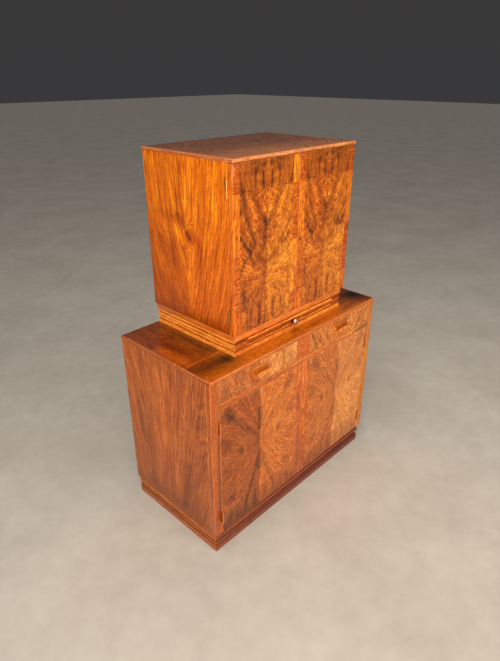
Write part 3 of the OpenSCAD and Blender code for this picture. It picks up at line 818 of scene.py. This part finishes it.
LOWER_MARKS = (
    (17.2, -0.32, -0.15, 0, 156, 575, 150, 552),
    (12.6, -0.24, 0.0, 0, 140, 548, 102, 508, 68, 470),
    (6.9, 0.22, 0.0, 0, 128, 594, 98, 550, 72, 512),
    (5.8, 0.16, 0.0, 0, 62, 600, 46, 550, 26, 505),
    (6.9, -0.41, 0.05, 0, 8, 522, 4, 470, 8, 438),
    (8, -0.22, 0.0, 0, 62, 462, 32, 430, 10, 405),
    (10.3, -0.24, 0.05, 0, 100, 402, 92, 386),
    (9.2, 0.19, 0.0, 0, 72, 486, 50, 478),
    (20.7, -0.16, 0.1, 0, 182, 470, 150, 440),
    (4.6, -0.14, 0.0, 0, 100, 600, 78, 556, 58, 518),
    (4.6, 0.12, 0.0, 0, 170, 520, 120, 470, 84, 440),
    (9.2, -0.35, 0.0, 0, 3, 332, 14, 300, 10, 262),
    (8, -0.19, 0.0, 0, 20, 290, 40, 240, 55, 182),
    (10.3, 0.16, 0.0, 0, 60, 332, 75, 300),
    (11.5, 0.16, 0.0, 0, 110, 300, 120, 262),
    (11.5, -0.30, -0.1, 0, 152, 216, 142, 206),
    (10.3, 0.24, 0.0, -1, 166, 176, 122, 174),
    (5.2, 0.20, 0.0, 0, 20, 332, 50, 242, 75, 190),
    (5.2, -0.22, 0.0, 0, 30, 258, 55, 192, 75, 140),
    (5.2, 0.16, 0.0, 0, 35, 332, 80, 262, 120, 200),
    (4.6, -0.16, 0.0, 0, 70, 300, 120, 262, 182, 240),
    (4.6, -0.14, 0.0, 0, 60, 350, 120, 326, 186, 312),
    (4.6, 0.11, 0.0, 0, 64, 340, 130, 306, 186, 286),
    (9.2, -0.14, 0.1, 0, 6, 392, 34, 380),
    (4.6, 0.22, 0.0, 0, 3, 170, 2, 100),
    (5.8, -0.22, 0.0, 0, 26, 170, 30, 100),
    (4.6, 0.14, 0.0, 0, 45, 165, 48, 100),
    (5.8, -0.16, 0.0, 0, 66, 170, 80, 110),
    (4.6, -0.14, 0.0, 0, 110, 168, 116, 100),
    (10.3, -0.14, -0.1, 0, 150, 150, 156, 120),
)
# (right half, level): brightness, redness, ripple
LOWER_FIELD = {
    -1: {(0, 2): (0.60, 0.80, 0.35), (0, 1): (0.58, 0.75, 0.35), (0, 0): (0.50, 0.60, 0.35),
         (1, 2): (1.05, 0.20, 0.35), (1, 1): (0.96, 0.35, 0.35), (1, 0): (0.76, 0.50, 0.30)},
    1: {(0, 2): (0.93, 0.18, 0.35), (0, 1): (0.91, 0.22, 0.35), (0, 0): (0.75, 0.45, 0.35),
        (1, 2): (1.13, -0.75, 0.28), (1, 1): (1.26, -1.08, 0.28), (1, 0): (1.03, -0.62, 0.25)},
}
LOWER_BANDS = {-1: (0.96, 0.62, 0.05), 1: (0.99, 0.40, 0.05)}

lower_door(-1)
lower_door(1)


# ------------------------------------------------------------------ drawers

DRAWER_MARKS = (
    (14, -0.19, 0.05, -1, 175, 705, 160, 640),
    (8, 0.17, -0.05, -1, 140, 705, 120, 640),
    (6, -0.17, 0.0, -1, 96, 705, 84, 632),
    (7, 0.12, 0.0, -1, 66, 705, 56, 632),
    (5, -0.17, 0.0, 1, 110, 705, 120, 632),
    (12, 0.17, -0.1, 1, 70, 705, 84, 632),
    (6, -0.12, 0.0, 1, 150, 705, 160, 632),
    (8, 0.10, 0.0, 1, 176, 705, 182, 632),
)


def drawer(side):
    word = "left" if side < 0 else "right"
    body = word + "_drawer"
    name = word + "_drawer_front"
    bm = ease(source(name), 0.0008)
    lo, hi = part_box(name)
    front = facing(1, -1)
    xc = (lo.x + hi.x) / 2
    cut(bm, 0, [xc], front)
    cut(bm, 0, steps(lo.x, hi.x, 0.007), front)
    cut(bm, 2, steps(lo.z, hi.z, 0.007), front)
    tones = {-1: ((0.78, 0.25, 0.40), (1.10, -0.90, 0.45)), 1: ((1.00, -0.10, 0.45), (1.06, -0.35, 0.45))}[side]
    tone = [strokes(t, (0, 2), xc, DRAWER_MARKS) for t in tones]

    def place(co, n):
        # flame figure leaning over, cut from the doors' leaf
        x, z = abs(co.x - xc), co.z - 0.62
        a = math.radians(62)
        bend = 0.16 * (x - 0.1) ** 2
        return (x * math.cos(a) + z * math.sin(a), x * math.sin(a) - z * math.cos(a) + bend, 81.0 + side)

    def paint(c, n, f):
        if n.y > -0.5:
            return (1, along("x", 44 + side), (0.82, 0.45, 0.1), (0.1, 0.5, 0.3))
        return (0, place, tone[1 if c.x > xc else 0], (0.05, 0.40, 0.6))

    piece(bm, name + "_veneered", body, [name], paint, ["veneer" if side > 0 else "veneer_pale", "straight"])

    name = word + "_drawer_box"
    piece(ease(source(name), 0.0008), name + "_oak", body, [name],
          lambda c, n, f: (0, along("y" if abs(n.x) > 0.5 or abs(c.x - xc) > 0.15 else "x", 91 + side), (0.95, 0.0, 0.1), (0.1, 0.6, 0.4)),
          ["oak"])
    name = word + "_drawer_bottom"
    piece(source(name), name + "_ply", body, [name], plain("x", 93 + side, (1.0, 0.0, 0.2), (0.2, 1.0, 1.0)), ["ply"])

    name = word + "_drawer_handle"
    bm = ease(source(name), 0.0007, box_only=False, least=0.010)

    def grip(c, n, f):
        trough = c.y > -0.2375 and n.z > -0.2 and c.z > 0.6625 and c.y < -0.2205 and abs(n.x) < 0.5
        end = abs(n.x) > 0.5 and n.x * (c.x - xc) < 0
        # painted shade: the chosen end faces and the trough are darker; painted highlight: the lip is paler
        if end:
            t = (0.40, 0.3, 0.1)
        elif trough:
            t = (0.72, 0.20, 0.1) if c.z > 0.672 else (0.78, 0.0, 0.1)
        else:
            t = (1.14, -0.50, 0.1)
        return (0, round_moulding("x", 97 + side), t, (0.1, 0.6, 0.3))

    piece(bm, name + "_polished", body, [name], grip, ["straight"])


drawer(-1)
drawer(1)


# ------------------------------------------------------------------ sides

# marks of the flank: the leaf behind the joint, then the leaf in front of it
FLANK_BACK = (
    (7, -0.34, 0.2, 0, 62, 1312, 62, 1284),
    (16, -0.20, 0.2, 0, 180, 1150, 96, 1132),
    (9, -0.50, 0.3, 0, 82, 1148, 62, 1134, 50, 1116),
    (24, -0.22, 0.2, 0, 165, 1060, 130, 980),
    (13, 0.60, -0.8, 0, 86, 1102, 66, 1062),
    (7, 0.30, -0.4, 0, 100, 1116, 84, 1070, 58, 990),
    (5, 0.30, -0.2, 0, 183, 1090, 159, 1061, 96, 859),
    (5, 0.32, -0.2, 0, 149, 1100, 125, 984, 82, 855),
    (4, 0.22, -0.2, 0, 91, 1100, 82, 1071, 53, 974),
    (5, -0.26, 0.1, 0, 172, 1100, 148, 1030, 98, 880),
    (4, -0.22, 0.1, 0, 136, 1100, 112, 984, 72, 858),
    (4, 0.20, -0.2, 0, 214, 1190, 190, 1110),
    (5, 0.20, -0.2, 0, 150, 1250, 150, 1140),
    (5, -0.18, 0.1, 0, 170, 1290, 166, 1180),
    (14, 0.22, -0.3, 0, 110, 1300, 104, 1200),
    (14, 0.14, -0.2, 0, 200, 1300, 196, 1230),
    (6, -0.22, 0.1, 0, 66, 1290, 62, 1180),
    (36, -0.20, 0.15, 0, 190, 900, 130, 850),
    (22, -0.24, 0.2, 0, 236, 1060, 232, 860),
)
FLANK_FRONT = (
    (9, -1.00, 0.7, 0, 40, 1096, 26, 1080),
    (14, -0.22, 0.4, 0, 6, 1100, -28, 1064),
    (12, 0.26, -0.5, 0, 40, 1270, 34, 1130),
    (12, 0.22, -0.4, 0, 12, 1320, 4, 1130),
    (8, -0.20, 0.2, 0, 30, 1316, 28, 1286),
    (13, 0.26, -0.5, 0, 36, 1040, 30, 870),
    (8, 0.16, -0.3, 0, 12, 1050, 6, 900),
    (5, 0.28, -0.2, 0, -67, 1090, -48, 1013, -29, 917, -10, 850),
    (5, -0.30, 0.1, 0, -58, 1090, -53, 1050, -40, 950, -22, 858),
    (4, 0.24, -0.2, 0, -40, 1080, -30, 1000, -14, 900),
    (4, -0.20, 0.1, 0, -30, 1060, -20, 980, -4, 880),
    (4, 0.20, -0.2, 0, -92, 1080, -74, 980, -50, 870),
    (5, -0.20, 0.1, 0, -104, 1100, -84, 980, -60, 870),
    (5, 0.20, -0.2, 0, -130, 1110, -111, 1042, -91, 941, -70, 860),
    (5, -0.18, 0.1, 0, -142, 1120, -122, 1042, -104, 941),
    (5, 0.18, -0.2, 0, -66, 1300, -62, 1150),
    (5, -0.20, 0.1, 0, -50, 1320, -54, 1140),
    (5, 0.18, -0.2, 0, -100, 1290, -92, 1150),
    (5, -0.16, 0.1, 0, -118, 1300, -112, 1150),
    (16, 0.12, -0.3, 0, -85, 1300, -82, 1200),
    (18, -0.16, 0.1, 0, -20, 1190, -24, 1130),
    (22, 0.22, -0.3, 0, 26, 850, 20, 828),
)


def upper_side(side):
    name = "upper_left_side" if side < 0 else "upper_right_side"
    bm = ease(source(name), 0.0008, wear_and_highlight=0.3)
    outer = facing(0, side)
    cut(bm, 1, [FLANK_MID], outer)
    cut(bm, 1, steps(-0.149, FLANK_MID, 0.0055) + steps(FLANK_MID, 0.241, 0.0055), outer)
    cut(bm, 2, steps(0.798, 1.330, 0.007), outer)
    knot = eye(flank(side), 1, 2, 0.032, 1.086, 0.022, 1.3)
    back = lambda co: flank_tone(co, -0.12)
    fore = lambda co: flank_tone(co, 0.04)
    tone = (strokes(back, (1, 2), 0.0, FLANK_BACK, mirror=False), strokes(fore, (1, 2), 0.0, FLANK_FRONT, mirror=False))
    vein = (veined(tone[0], back, 0.03, 0.50, 0.12, pull=0.5), veined(tone[1], fore, 0.03, 0.50, 0.12, pull=0.5))

    def paint(c, n, f):
        if n.x * side > 0.5:
            leaf = 0 if c.y > FLANK_MID else 1
            return (0, knot if leaf else flank(side), tone[leaf], vein[leaf])
        if n.x * side < -0.5:
            return (1, along("z", 103 + side), (0.92, 0.0, 0.45), (0.1, 0.5, 0.6))
        return (2, along("z" if abs(n.z) < 0.5 else "y", 105 + side), (1.15, 0.25, 0.05), (0.0, 0.4, 0.2))

    piece(bm, name + "_veneered", "carcass", [name], paint, ["side_u", "inside", "straight_u"])


upper_side(-1)
upper_side(1)


LOWER_FLANK = (
    (3.5, 0.20, -0.15, 0, -20, 210, -38, 330, -62, 450, -85, 560, -108, 660),
    (3.5, 0.14, -0.10, 0, -32, 200, -52, 330, -76, 450, -104, 600),
    (4, -0.12, 0.10, 0, -44, 300, -66, 440, -94, 600, -112, 700),
    (3.5, 0.12, -0.10, 0, 5, 240, 0, 360),
    (3.5, 0.14, -0.10, 0, -98, 700, -120, 600),
    (30, 0.10, 0.05, 0, 40, 640, 30, 480, 30, 360),
    (18, 0.08, 0.10, 0, -20, 620, -14, 520),
    (26, -0.10, 0.05, 0, 130, 420, 116, 120),
    (18, -0.12, 0.15, 0, -92, 330, -66, 130),
    (10, -0.12, 0.10, 0, -72, 705, -60, 560),
    (14, -0.10, 0.05, 0, 176, 520, 160, 320),
    (4, 0.14, -0.10, 0, 190, 690, 160, 600, 146, 520),
    (4, 0.12, -0.10, 0, 112, 700, 96, 560),
    (4, -0.12, 0.05, 0, 140, 705, 122, 610),
    (4, -0.12, 0.05, 0, 76, 560, 66, 440),
    (4, 0.10, -0.10, 0, 88, 470, 74, 300),
    (12, 0.08, -0.05, 0, 206, 640, 200, 470),
    (4, -0.14, 0.10, 0, -158, 562, -216, 594),
    (4, 0.14, -0.10, 0, -160, 584, -216, 622),
    (4, -0.14, 0.10, 0, -160, 606, -216, 650),
    (4, -0.14, 0.10, 0, -160, 462, -216, 498),
    (4, 0.12, -0.10, 0, -165, 484, -216, 520),
    (4, -0.14, 0.10, 0, -160, 410, -216, 452),
    (4, 0.10, -0.10, 0, -140, 330, -190, 420),
    (4, -0.12, 0.10, 0, -126, 250, -180, 380),
    (12, -0.10, 0.10, 0, -150, 520, -200, 560),
    (4, 0.12, -0.10, 0, -20, 150, -16, 240),
    (5, -0.12, 0.10, 0, 10, 100, 4, 220),
    (5, -0.10, 0.10, 0, 60, 100, 52, 260),
    (60, -0.05, 0.10, 0, -210, 640, -80, 100),
)


def lower_side(side):
    name = "lower_left_side" if side < 0 else "lower_right_side"
    bm = ease(source(name), 0.0013)
    outer = facing(0, side)
    cut(bm, 1, steps(-0.200, 0.241, 0.008), outer)
    cut(bm, 2, steps(0.082, 0.710, 0.009), outer)
    yc, apex = 0.03, -0.55

    def place(co, n):
        h = co.z - apex
        return (h, (co.y - yc) / h * 1.0, 111.0 + side)

    cloud = blobs((0.84, 0.58, 0.15),
                  (1, 2, 0.100, 0.62, 0.07, 0.09, (0.05, 0, 0)), (1, 2, -0.07, 0.60, 0.05, 0.08, (0.05, 0, 0)),
                  (1, 2, 0.150, 0.30, 0.07, 0.16, (-0.06, 0.05, 0)), (1, 2, -0.11, 0.22, 0.07, 0.12, (-0.08, 0.1, 0)),
                  (1, 2, 0.050, 0.09, 0.40, 0.07, (-0.26, 0.15, 0)), (1, 2, 0.04, 0.34, 0.05, 0.10, (0.04, 0.05, 0)))
    tone = strokes(cloud, (1, 2), 0.0, LOWER_FLANK, mirror=False, gain=1.7)

    def paint(c, n, f):
        if n.x * side > 0.5:
            return (0, place, tone, (0.06, 0.34, 0.6))
        if n.x * side < -0.5:
            return (1, along("z", 113 + side), (0.92, 0.0, 0.45), (0.1, 0.5, 0.6))
        return (2, along("z" if abs(n.z) < 0.5 else "y", 115 + side), (0.95, 0.5, 0.05), (0.0, 0.4, 0.2))

    piece(bm, name + "_veneered", "carcass", [name], paint, ["side_l", "inside", "straight"])


lower_side(-1)
lower_side(1)


# ------------------------------------------------------------------ tops

TOP_MARKS = (
    (20, 0.38, -0.35, 0, -428, 60, -426, -70),
    # painted shade along the foot of the upper cabinet
    (18, -0.10, -0.25, 0, -306, 200, -306, -90),
    # painted reflection of the wall: less red at the back left
    (40, -0.04, -0.25, 0, -420, 200, -340, 200),
    (22, -0.15, 0.15, 0, -392, 70, -384, 0),
    (22, -0.14, 0.15, 0, -330, 120, -322, -60),
    (6, -0.22, 0.1, 0, -368, 112, -350, 98, -338, 104),
    (9, -0.20, 0.1, 0, -372, -40),
    (4, 0.12, 0.0, 0, -398, -40, -372, -66, -350, -40),
    (10, 0.14, -0.1, 0, -350, 30, -344, -10),
    (4, 0.42, -0.4, 0, -452, -95, -300, -97),
    (5, -0.16, 0.1, 0, -452, -84, -400, -84),
)
TOP_BAND_MARKS = (
    # painted shadow of the upper cabinet, left of it and beside its foot
    (60, -0.72, 0.5, 0, -440, -130, -330, -140),
    (24, -0.30, 0.2, 0, -320, -150, -290, -150),
    (16, 0.10, -0.1, 0, -250, -190, -120, -186),
    (12, -0.10, 0.1, 0, 0, -168, 60, -172),
    # painted shadow of the upper cabinet at the right end
    (80, -0.66, 0.5, 0, 430, -150, 450, -180),
    # painted reflection of the knob
    (9, -0.42, 0.8, 0, -12, -178, 10, -178),
    # painted shadow of the upper cabinet at the right end
    (60, -0.30, 0.3, 0, 330, -110, 450, -110),
)


def lower_top():
    bm = ease(source("lower_top"), 0.0005)
    up = facing(2, 1)
    cut(bm, 1, [-0.103], up)
    cut(bm, 0, steps(-0.4525, 0.4525, 0.009), up)
    cut(bm, 1, steps(-0.216, -0.103, 0.009) + steps(-0.103, 0.241, 0.006), up)

    def place(co, n):
        d = math.hypot(co.x + 0.372, (co.y + 0.040) * 0.9)
        w = math.exp(-(d / 0.030) ** 2)
        u, v = co.y, co.x + 0.10 * co.y
        return (u * (1 - w), v * (1 - w) + w * d * 1.5, 121.0)

    field = strokes((0.345, 1.05, 0.30), (0, 1), 0.0, TOP_MARKS, mirror=False)
    band = strokes((0.89, 0.20, 0.15), (0, 1), 0.0, TOP_BAND_MARKS, mirror=False)

    def paint(c, n, f):
        if n.z > 0.5 and c.z > 0.715:
            if c.y < -0.103:
                return (0, along("x", 123), band, (0.0, 0.35, 0.25))
            return (0, place, field, (0.10, 0.50, 0.9))
        return (1, along("x", 125), (0.9, 0.3, 0.1), (0.1, 0.5, 0.3))

    piece(bm, "lower_top_veneered", "carcass", ["lower_top"], paint, ["top", "straight"])


lower_top()


def upper_top():
    bm = ease(source("upper_top"), 0.0005)
    up = facing(2, 1)
    cut(bm, 0, [0.0], up)
    cut(bm, 0, steps(-0.295, 0.0, 0.016) + steps(0.0, 0.295, 0.016), up)
    cut(bm, 1, steps(-0.166, 0.241, 0.016), up)
    grain = quarter(0, 1, 0.0, -0.40, (0.05, 0.10), 131.0, spread=0.8, swirls=((0.12, 0.42, 0.07, 1.2),))

    def paint(c, n, f):
        if n.z > 0.5 and c.z > 1.335:
            return (0, grain, blobs((0.60, 0.25, 0.15), (0, 1, 0.0, -0.17, 9.0, 0.13, (0.60, -0.35, 0.0)),
                                    (0, 1, -0.05, -0.10, 0.07, 0.06, (0.20, -0.3, 0.0))), (0.15, 0.35, 0.7))
        return (1, along("x", 133), (0.9, 0.3, 0.1), (0.1, 0.5, 0.3))

    piece(bm, "upper_top_veneered", "carcass", ["upper_top"], paint, ["top_u", "straight"])


upper_top()

def edging(node, seed, front_tone, side_tone, dark, material="straight"):
    """A solid edging; dark is how much its lower edge is darkened, as painted shade; its upper edge is lightened as a
    painted highlight.
    """
    bm = source(node)
    lo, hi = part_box(node)
    bm.faces.layers.float.new("arris")
    layer = bm.faces.layers.float["arris"]
    # the rounded faces are marked as arris and painted paler: partly rubbing, partly a painted highlight
    for f in bm.faces:
        if max(abs(x) for x in f.normal) < 0.97:
            f[layer] = 0.8
    sides = lambda f: abs(f.normal.z) < 0.5
    cut(bm, 2, [lo.z + 0.0016, hi.z - 0.0022], sides)

    def paint(c, n, f):
        front = c.y < lo.y + 0.0051
        t = list(front_tone if front else side_tone)
        # painted shade along the lower edge, painted highlight along the upper edge
        if abs(n.z) < 0.5 and c.z < lo.z + 0.0016:
            t[0] *= dark
        elif abs(n.z) < 0.5 and c.z > hi.z - 0.0022:
            t[0], t[1] = t[0] * 1.25, t[1] - 0.5
        return (0, round_moulding("x" if front else "y", seed + (0 if front else 1)), t, (0.0, 0.45, 0.2))
    piece(bm, node + "_polished", "carcass", [node], paint, [material])


edging("lower_top_edging", 141, (1.00, 0.50, 0.05), (0.62, 0.75, 0.05), 0.35)
edging("upper_top_edging", 143, (1.06, -0.55, 0.05), (0.84, 0.05, 0.05), 0.60, "edge_u")


# ------------------------------------------------------------------ rails, stiles, plinths

def simple(node, axis, seed, tone, figure, material, body="carcass", ease_by=0.0008, box_only=True, far=None):
    """far is the tone at the right end, where it differs from the left."""
    bm = source(node)
    if ease_by:
        ease(bm, ease_by, box_only=box_only)
    ax = AXIS[axis]
    place = along(axis, seed)

    if far:
        cut(bm, 0, steps(-0.42, 0.42, 0.12), lambda f: True)
        near = tone

        def tone(co):
            k = (co.x + 0.42) / 0.84
            return [a + (b - a) * k for a, b in zip(near, far)]

    def paint(c, n, f):
        return (0, place, tone, figure)
    piece(bm, node + "_finished", body, [node], paint, [material])


simple("lower_stiles", "z", 151, (0.76, 0.68, 0.05), (0.05, 0.5, 0.25), "straight", far=(0.86, -0.62, 0.05))
simple("drawer_rail", "x", 153, (0.74, 0.75, 0.05), (0.05, 0.5, 0.25), "straight", far=(1.17, -0.45, 0.05))
simple("drawer_muntin", "x", 155, (0.90, 0.75, 0.30), (0.1, 0.6, 0.3), "straight", ease_by=0)
simple("upper_bottom", "x", 157, (1.20, 0.22, 0.05), (0.0, 0.5, 0.2), "straight")
simple("lower_bottom", "x", 161, (0.95, 0.0, 0.4), (0.1, 0.6, 0.8), "inside")
simple("lower_shelf", "x", 163, (0.98, 0.0, 0.4), (0.1, 0.6, 0.8), "inside")
simple("lower_back", "z", 165, (0.96, 0.0, 0.2), (0.2, 1.0, 1.0), "ply")
simple("upper_back", "z", 167, (0.90, 0.0, 0.4), (0.1, 0.6, 0.8), "inside")
simple("drawer_partitions", "y", 169, (0.95, 0.0, 0.1), (0.1, 0.6, 0.4), "oak")
simple("drawer_runners", "y", 171, (0.90, 0.0, 0.1), (0.1, 0.6, 0.4), "oak")
simple("slide_runners", "y", 173, (0.90, 0.0, 0.1), (0.1, 0.6, 0.4), "oak", ease_by=0)
simple("lower_plinth_back", "x", 175, (0.85, 0.0, 0.1), (0.1, 0.6, 0.4), "oak")
simple("upper_plinth_back", "x", 177, (0.85, 0.0, 0.1), (0.1, 0.6, 0.4), "oak")
simple("slide_board", "x", 179, (1.05, 0.1, 0.4), (0.4, 0.9, 0.8), "veneer", body="serving_slide")


def moulded(node, axis, seed, tone, body="carcass", deep_shade=(), proud_highlight=(), far=None):
    """A moulding; two lists of height ranges in the shared frame give painted shade in the grooves and
    a painted highlight on the raised reeds and bands. far is the tone at the right end."""
    bm = source(node)
    lo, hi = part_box(node)
    if far:
        cut(bm, 0, steps(lo.x, hi.x, 0.10), lambda f: True)
    bm.faces.layers.float.new("arris")
    place = round_moulding(axis, seed)

    def paint(c, n, f):
        at = (c.x - lo.x) / (hi.x - lo.x) if far else 0.0
        here = [a + (b - a) * at for a, b in zip(tone, far or tone)]
        k, red = 1.0, here[1]
        # painted shade in the grooves: darker and redder
        for z0, z1, change in deep_shade:
            if z0 < c.z < z1:
                k *= change
                red = max(red, 0.9)
        # painted highlight on the raised reeds and bands
        for z0, z1, change in proud_highlight:
            if z0 < c.z < z1:
                k *= change
                red -= 0.25
        # painted shade on faces turned down
        if n.z < -0.3:
            k *= 0.55
        return (0, place, (here[0] * k, red, here[2]), (0.1, 0.6, 0.3))
    piece(bm, node + "_polished", body, [node], paint, ["moulding"])


# height ranges: the grooves and the corner blocks' recess are painted as shade, the raised reeds and bands as highlight
LOW_DEEP = ((0.0239, 0.0271, 0.55), (0.0368, 0.0452, 0.55), (0.0668, 0.0822, 0.55))
STAND_DEEP = ((0.7348, 0.7372, 0.50), (0.7438, 0.7472, 0.55), (0.7608, 0.7632, 0.50), (0.7718, 0.7752, 0.60))
SLIDE_DEEP = ((0.7374, 0.7382, 0.5), (0.7438, 0.7472, 0.55), (0.7698, 0.7732, 0.6))
moulded("lower_plinth_front", "x", 181, (0.37, 1.20, 0.0), far=(0.26, 2.20, 0.0), deep_shade=LOW_DEEP, proud_highlight=((0.045, 0.067, 1.15),))
moulded("lower_plinth_sides", "y", 183, (0.70, 0.35, 0.0), deep_shade=LOW_DEEP, proud_highlight=((0.045, 0.067, 1.25),))
# painted highlight: the stand front here and the slide front below turn paler and less red towards the right end
moulded("upper_plinth_front", "x", 185, (1.16, 0.15, 0.0), far=(1.34, -0.90, 0.0), deep_shade=STAND_DEEP, proud_highlight=((0.7325, 0.7349, 1.5),))
moulded("upper_plinth_corners", "x", 187, (0.80, 0.80, 0.0), deep_shade=STAND_DEEP + ((0.7632, 0.7718, 0.6),))
moulded("upper_plinth_sides", "y", 189, (1.62, -0.70, 0.0), deep_shade=STAND_DEEP, proud_highlight=((0.7372, 0.7438, 1.15), (0.7632, 0.7718, 1.15)))
moulded("slide_front", "x", 191, (1.06, 0.55, 0.0), far=(1.24, -0.50, 0.0), body="serving_slide", deep_shade=SLIDE_DEEP, proud_highlight=((0.7602, 0.7698, 1.20), (0.7384, 0.7436, 1.15)))


# ------------------------------------------------------------------ hardware, glass and mirror

def finish_cad(node, material, angle=30):
    """A CAD solid whose shape is right keeps its mesh and gets a better material."""
    obj = NODES[node]
    obj.data.materials.clear()
    obj.data.materials.append(M[material])


for node in ("hinge_frame_leaves", "hinge_pins", "upper_left_door_leaves", "upper_right_door_leaves",
             "lower_left_door_leaves", "lower_right_door_leaves"):
    finish_cad(node, "brass_hinge")
for node in ("upper_bolt_plate", "lower_bolt_plate",
             "upper_door_bolt", "lower_door_bolt", "upper_lock_case", "lower_lock_case",
             "upper_lock_bolt", "lower_lock_bolt", "shelf_pegs"):
    finish_cad(node, "brass_old")
for node in ("upper_keyhole_liner", "lower_keyhole_liner"):
    finish_cad(node, "brass_dark")
finish_cad("slide_knob", "brass")
finish_cad("mirror_back", "mirror")
finish_cad("glass_shelf", "glass")


# ------------------------------------------------------------------ floor, light, camera

def floor():
    bm = bmesh.new()
    bmesh.ops.create_grid(bm, x_segments=8, y_segments=8, size=30.0)
    mesh = bpy.data.meshes.new("floor")
    bm.to_mesh(mesh)
    bm.free()
    s = Shader("pale_floor")
    p = s.place()
    n1 = s.noise(p, scale=2.4, detail=6.0, rough=0.62)
    n2 = s.noise(p, scale=16.0, detail=5.0, rough=0.6)
    t = s.math("ADD", s.mul(s.sub(n1, 0.5), 0.9), s.mad(s.sub(n2, 0.5), 0.5, 0.5), clamp=True)
    s.set(Base_Color=s.ramp(t, [(0.0, lin(164, 152, 134)), (0.5, lin(190, 178, 160)), (1.0, lin(210, 200, 182))]),
          Roughness=0.62)
    mesh.materials.append(s.material)
    obj = bpy.data.objects.new("floor", mesh)
    bpy.context.scene.collection.objects.link(obj)


floor()


def area(name, place, at, size, power, colour=(1, 1, 1), size_y=None):
    light = bpy.data.lights.new(name, "AREA")
    light.shape = "RECTANGLE"
    light.size = size
    light.size_y = size_y or size
    light.energy = power
    light.color = colour
    obj = bpy.data.objects.new(name, light)
    obj.location = place
    obj.rotation_euler = (Vector(at) - Vector(place)).to_track_quat("-Z", "Y").to_euler()
    bpy.context.scene.collection.objects.link(obj)


area("key", (-2.7, -2.5, 2.1), (0, 0, 0.75), 2.4, 118, (1.0, 0.97, 0.93))
area("front", (0.5, -3.6, 2.2), (0.2, 0, 0.4), 2.0, 64, (1.0, 0.98, 0.96))
area("top", (-1.4, -0.5, 4.0), (0, 0, 0.7), 2.2, 65)

world = bpy.data.worlds.new("studio")
world.use_nodes = True
tree = world.node_tree
tree.nodes.clear()
coord = tree.nodes.new("ShaderNodeTexCoord")
parts = tree.nodes.new("ShaderNodeSeparateXYZ")
rampn = tree.nodes.new("ShaderNodeValToRGB")
back = tree.nodes.new("ShaderNodeBackground")
outn = tree.nodes.new("ShaderNodeOutputWorld")
tree.links.new(coord.outputs["Generated"], parts.inputs[0])
tree.links.new(parts.outputs[2], rampn.inputs[0])
tree.links.new(rampn.outputs[0], back.inputs["Color"])
tree.links.new(back.outputs[0], outn.inputs["Surface"])
e = rampn.color_ramp.elements
e[0].position, e[0].color = 0.0, lin(60, 60, 62)
e[1].position, e[1].color = 1.0, lin(196, 200, 208)
m = e.new(0.40)
m.color = lin(66, 60, 54)
back.inputs["Strength"].default_value = 0.9
bpy.context.scene.world = world

scene = bpy.context.scene
scene.view_settings.view_transform = "Standard"
scene.view_settings.look = "None"
scene.view_settings.exposure = 0.0
scene.cycles.use_denoising = True
scene.cycles.max_bounces = 8
scene.cycles.sample_clamp_indirect = 4.0

camera = bpy.data.cameras.new("photo_camera")
camera.sensor_fit = "AUTO"
camera.sensor_width = 36.0
camera.lens = 520.9 * 36.0 / 661.0
camera.clip_start, camera.clip_end = 0.05, 100.0
eye_at = bpy.data.objects.new("photo_camera", camera)
yaw, pitch, roll = 0.8094, 0.4609, 0.0014
forward = Vector((math.sin(yaw) * math.cos(pitch), math.cos(yaw) * math.cos(pitch), -math.sin(pitch)))
eye_at.location = (-1.3282, -1.2177, 1.5526)
eye_at.rotation_mode = "QUATERNION"
eye_at.rotation_quaternion = forward.to_track_quat("-Z", "Y")
scene.collection.objects.link(eye_at)
scene.camera = eye_at
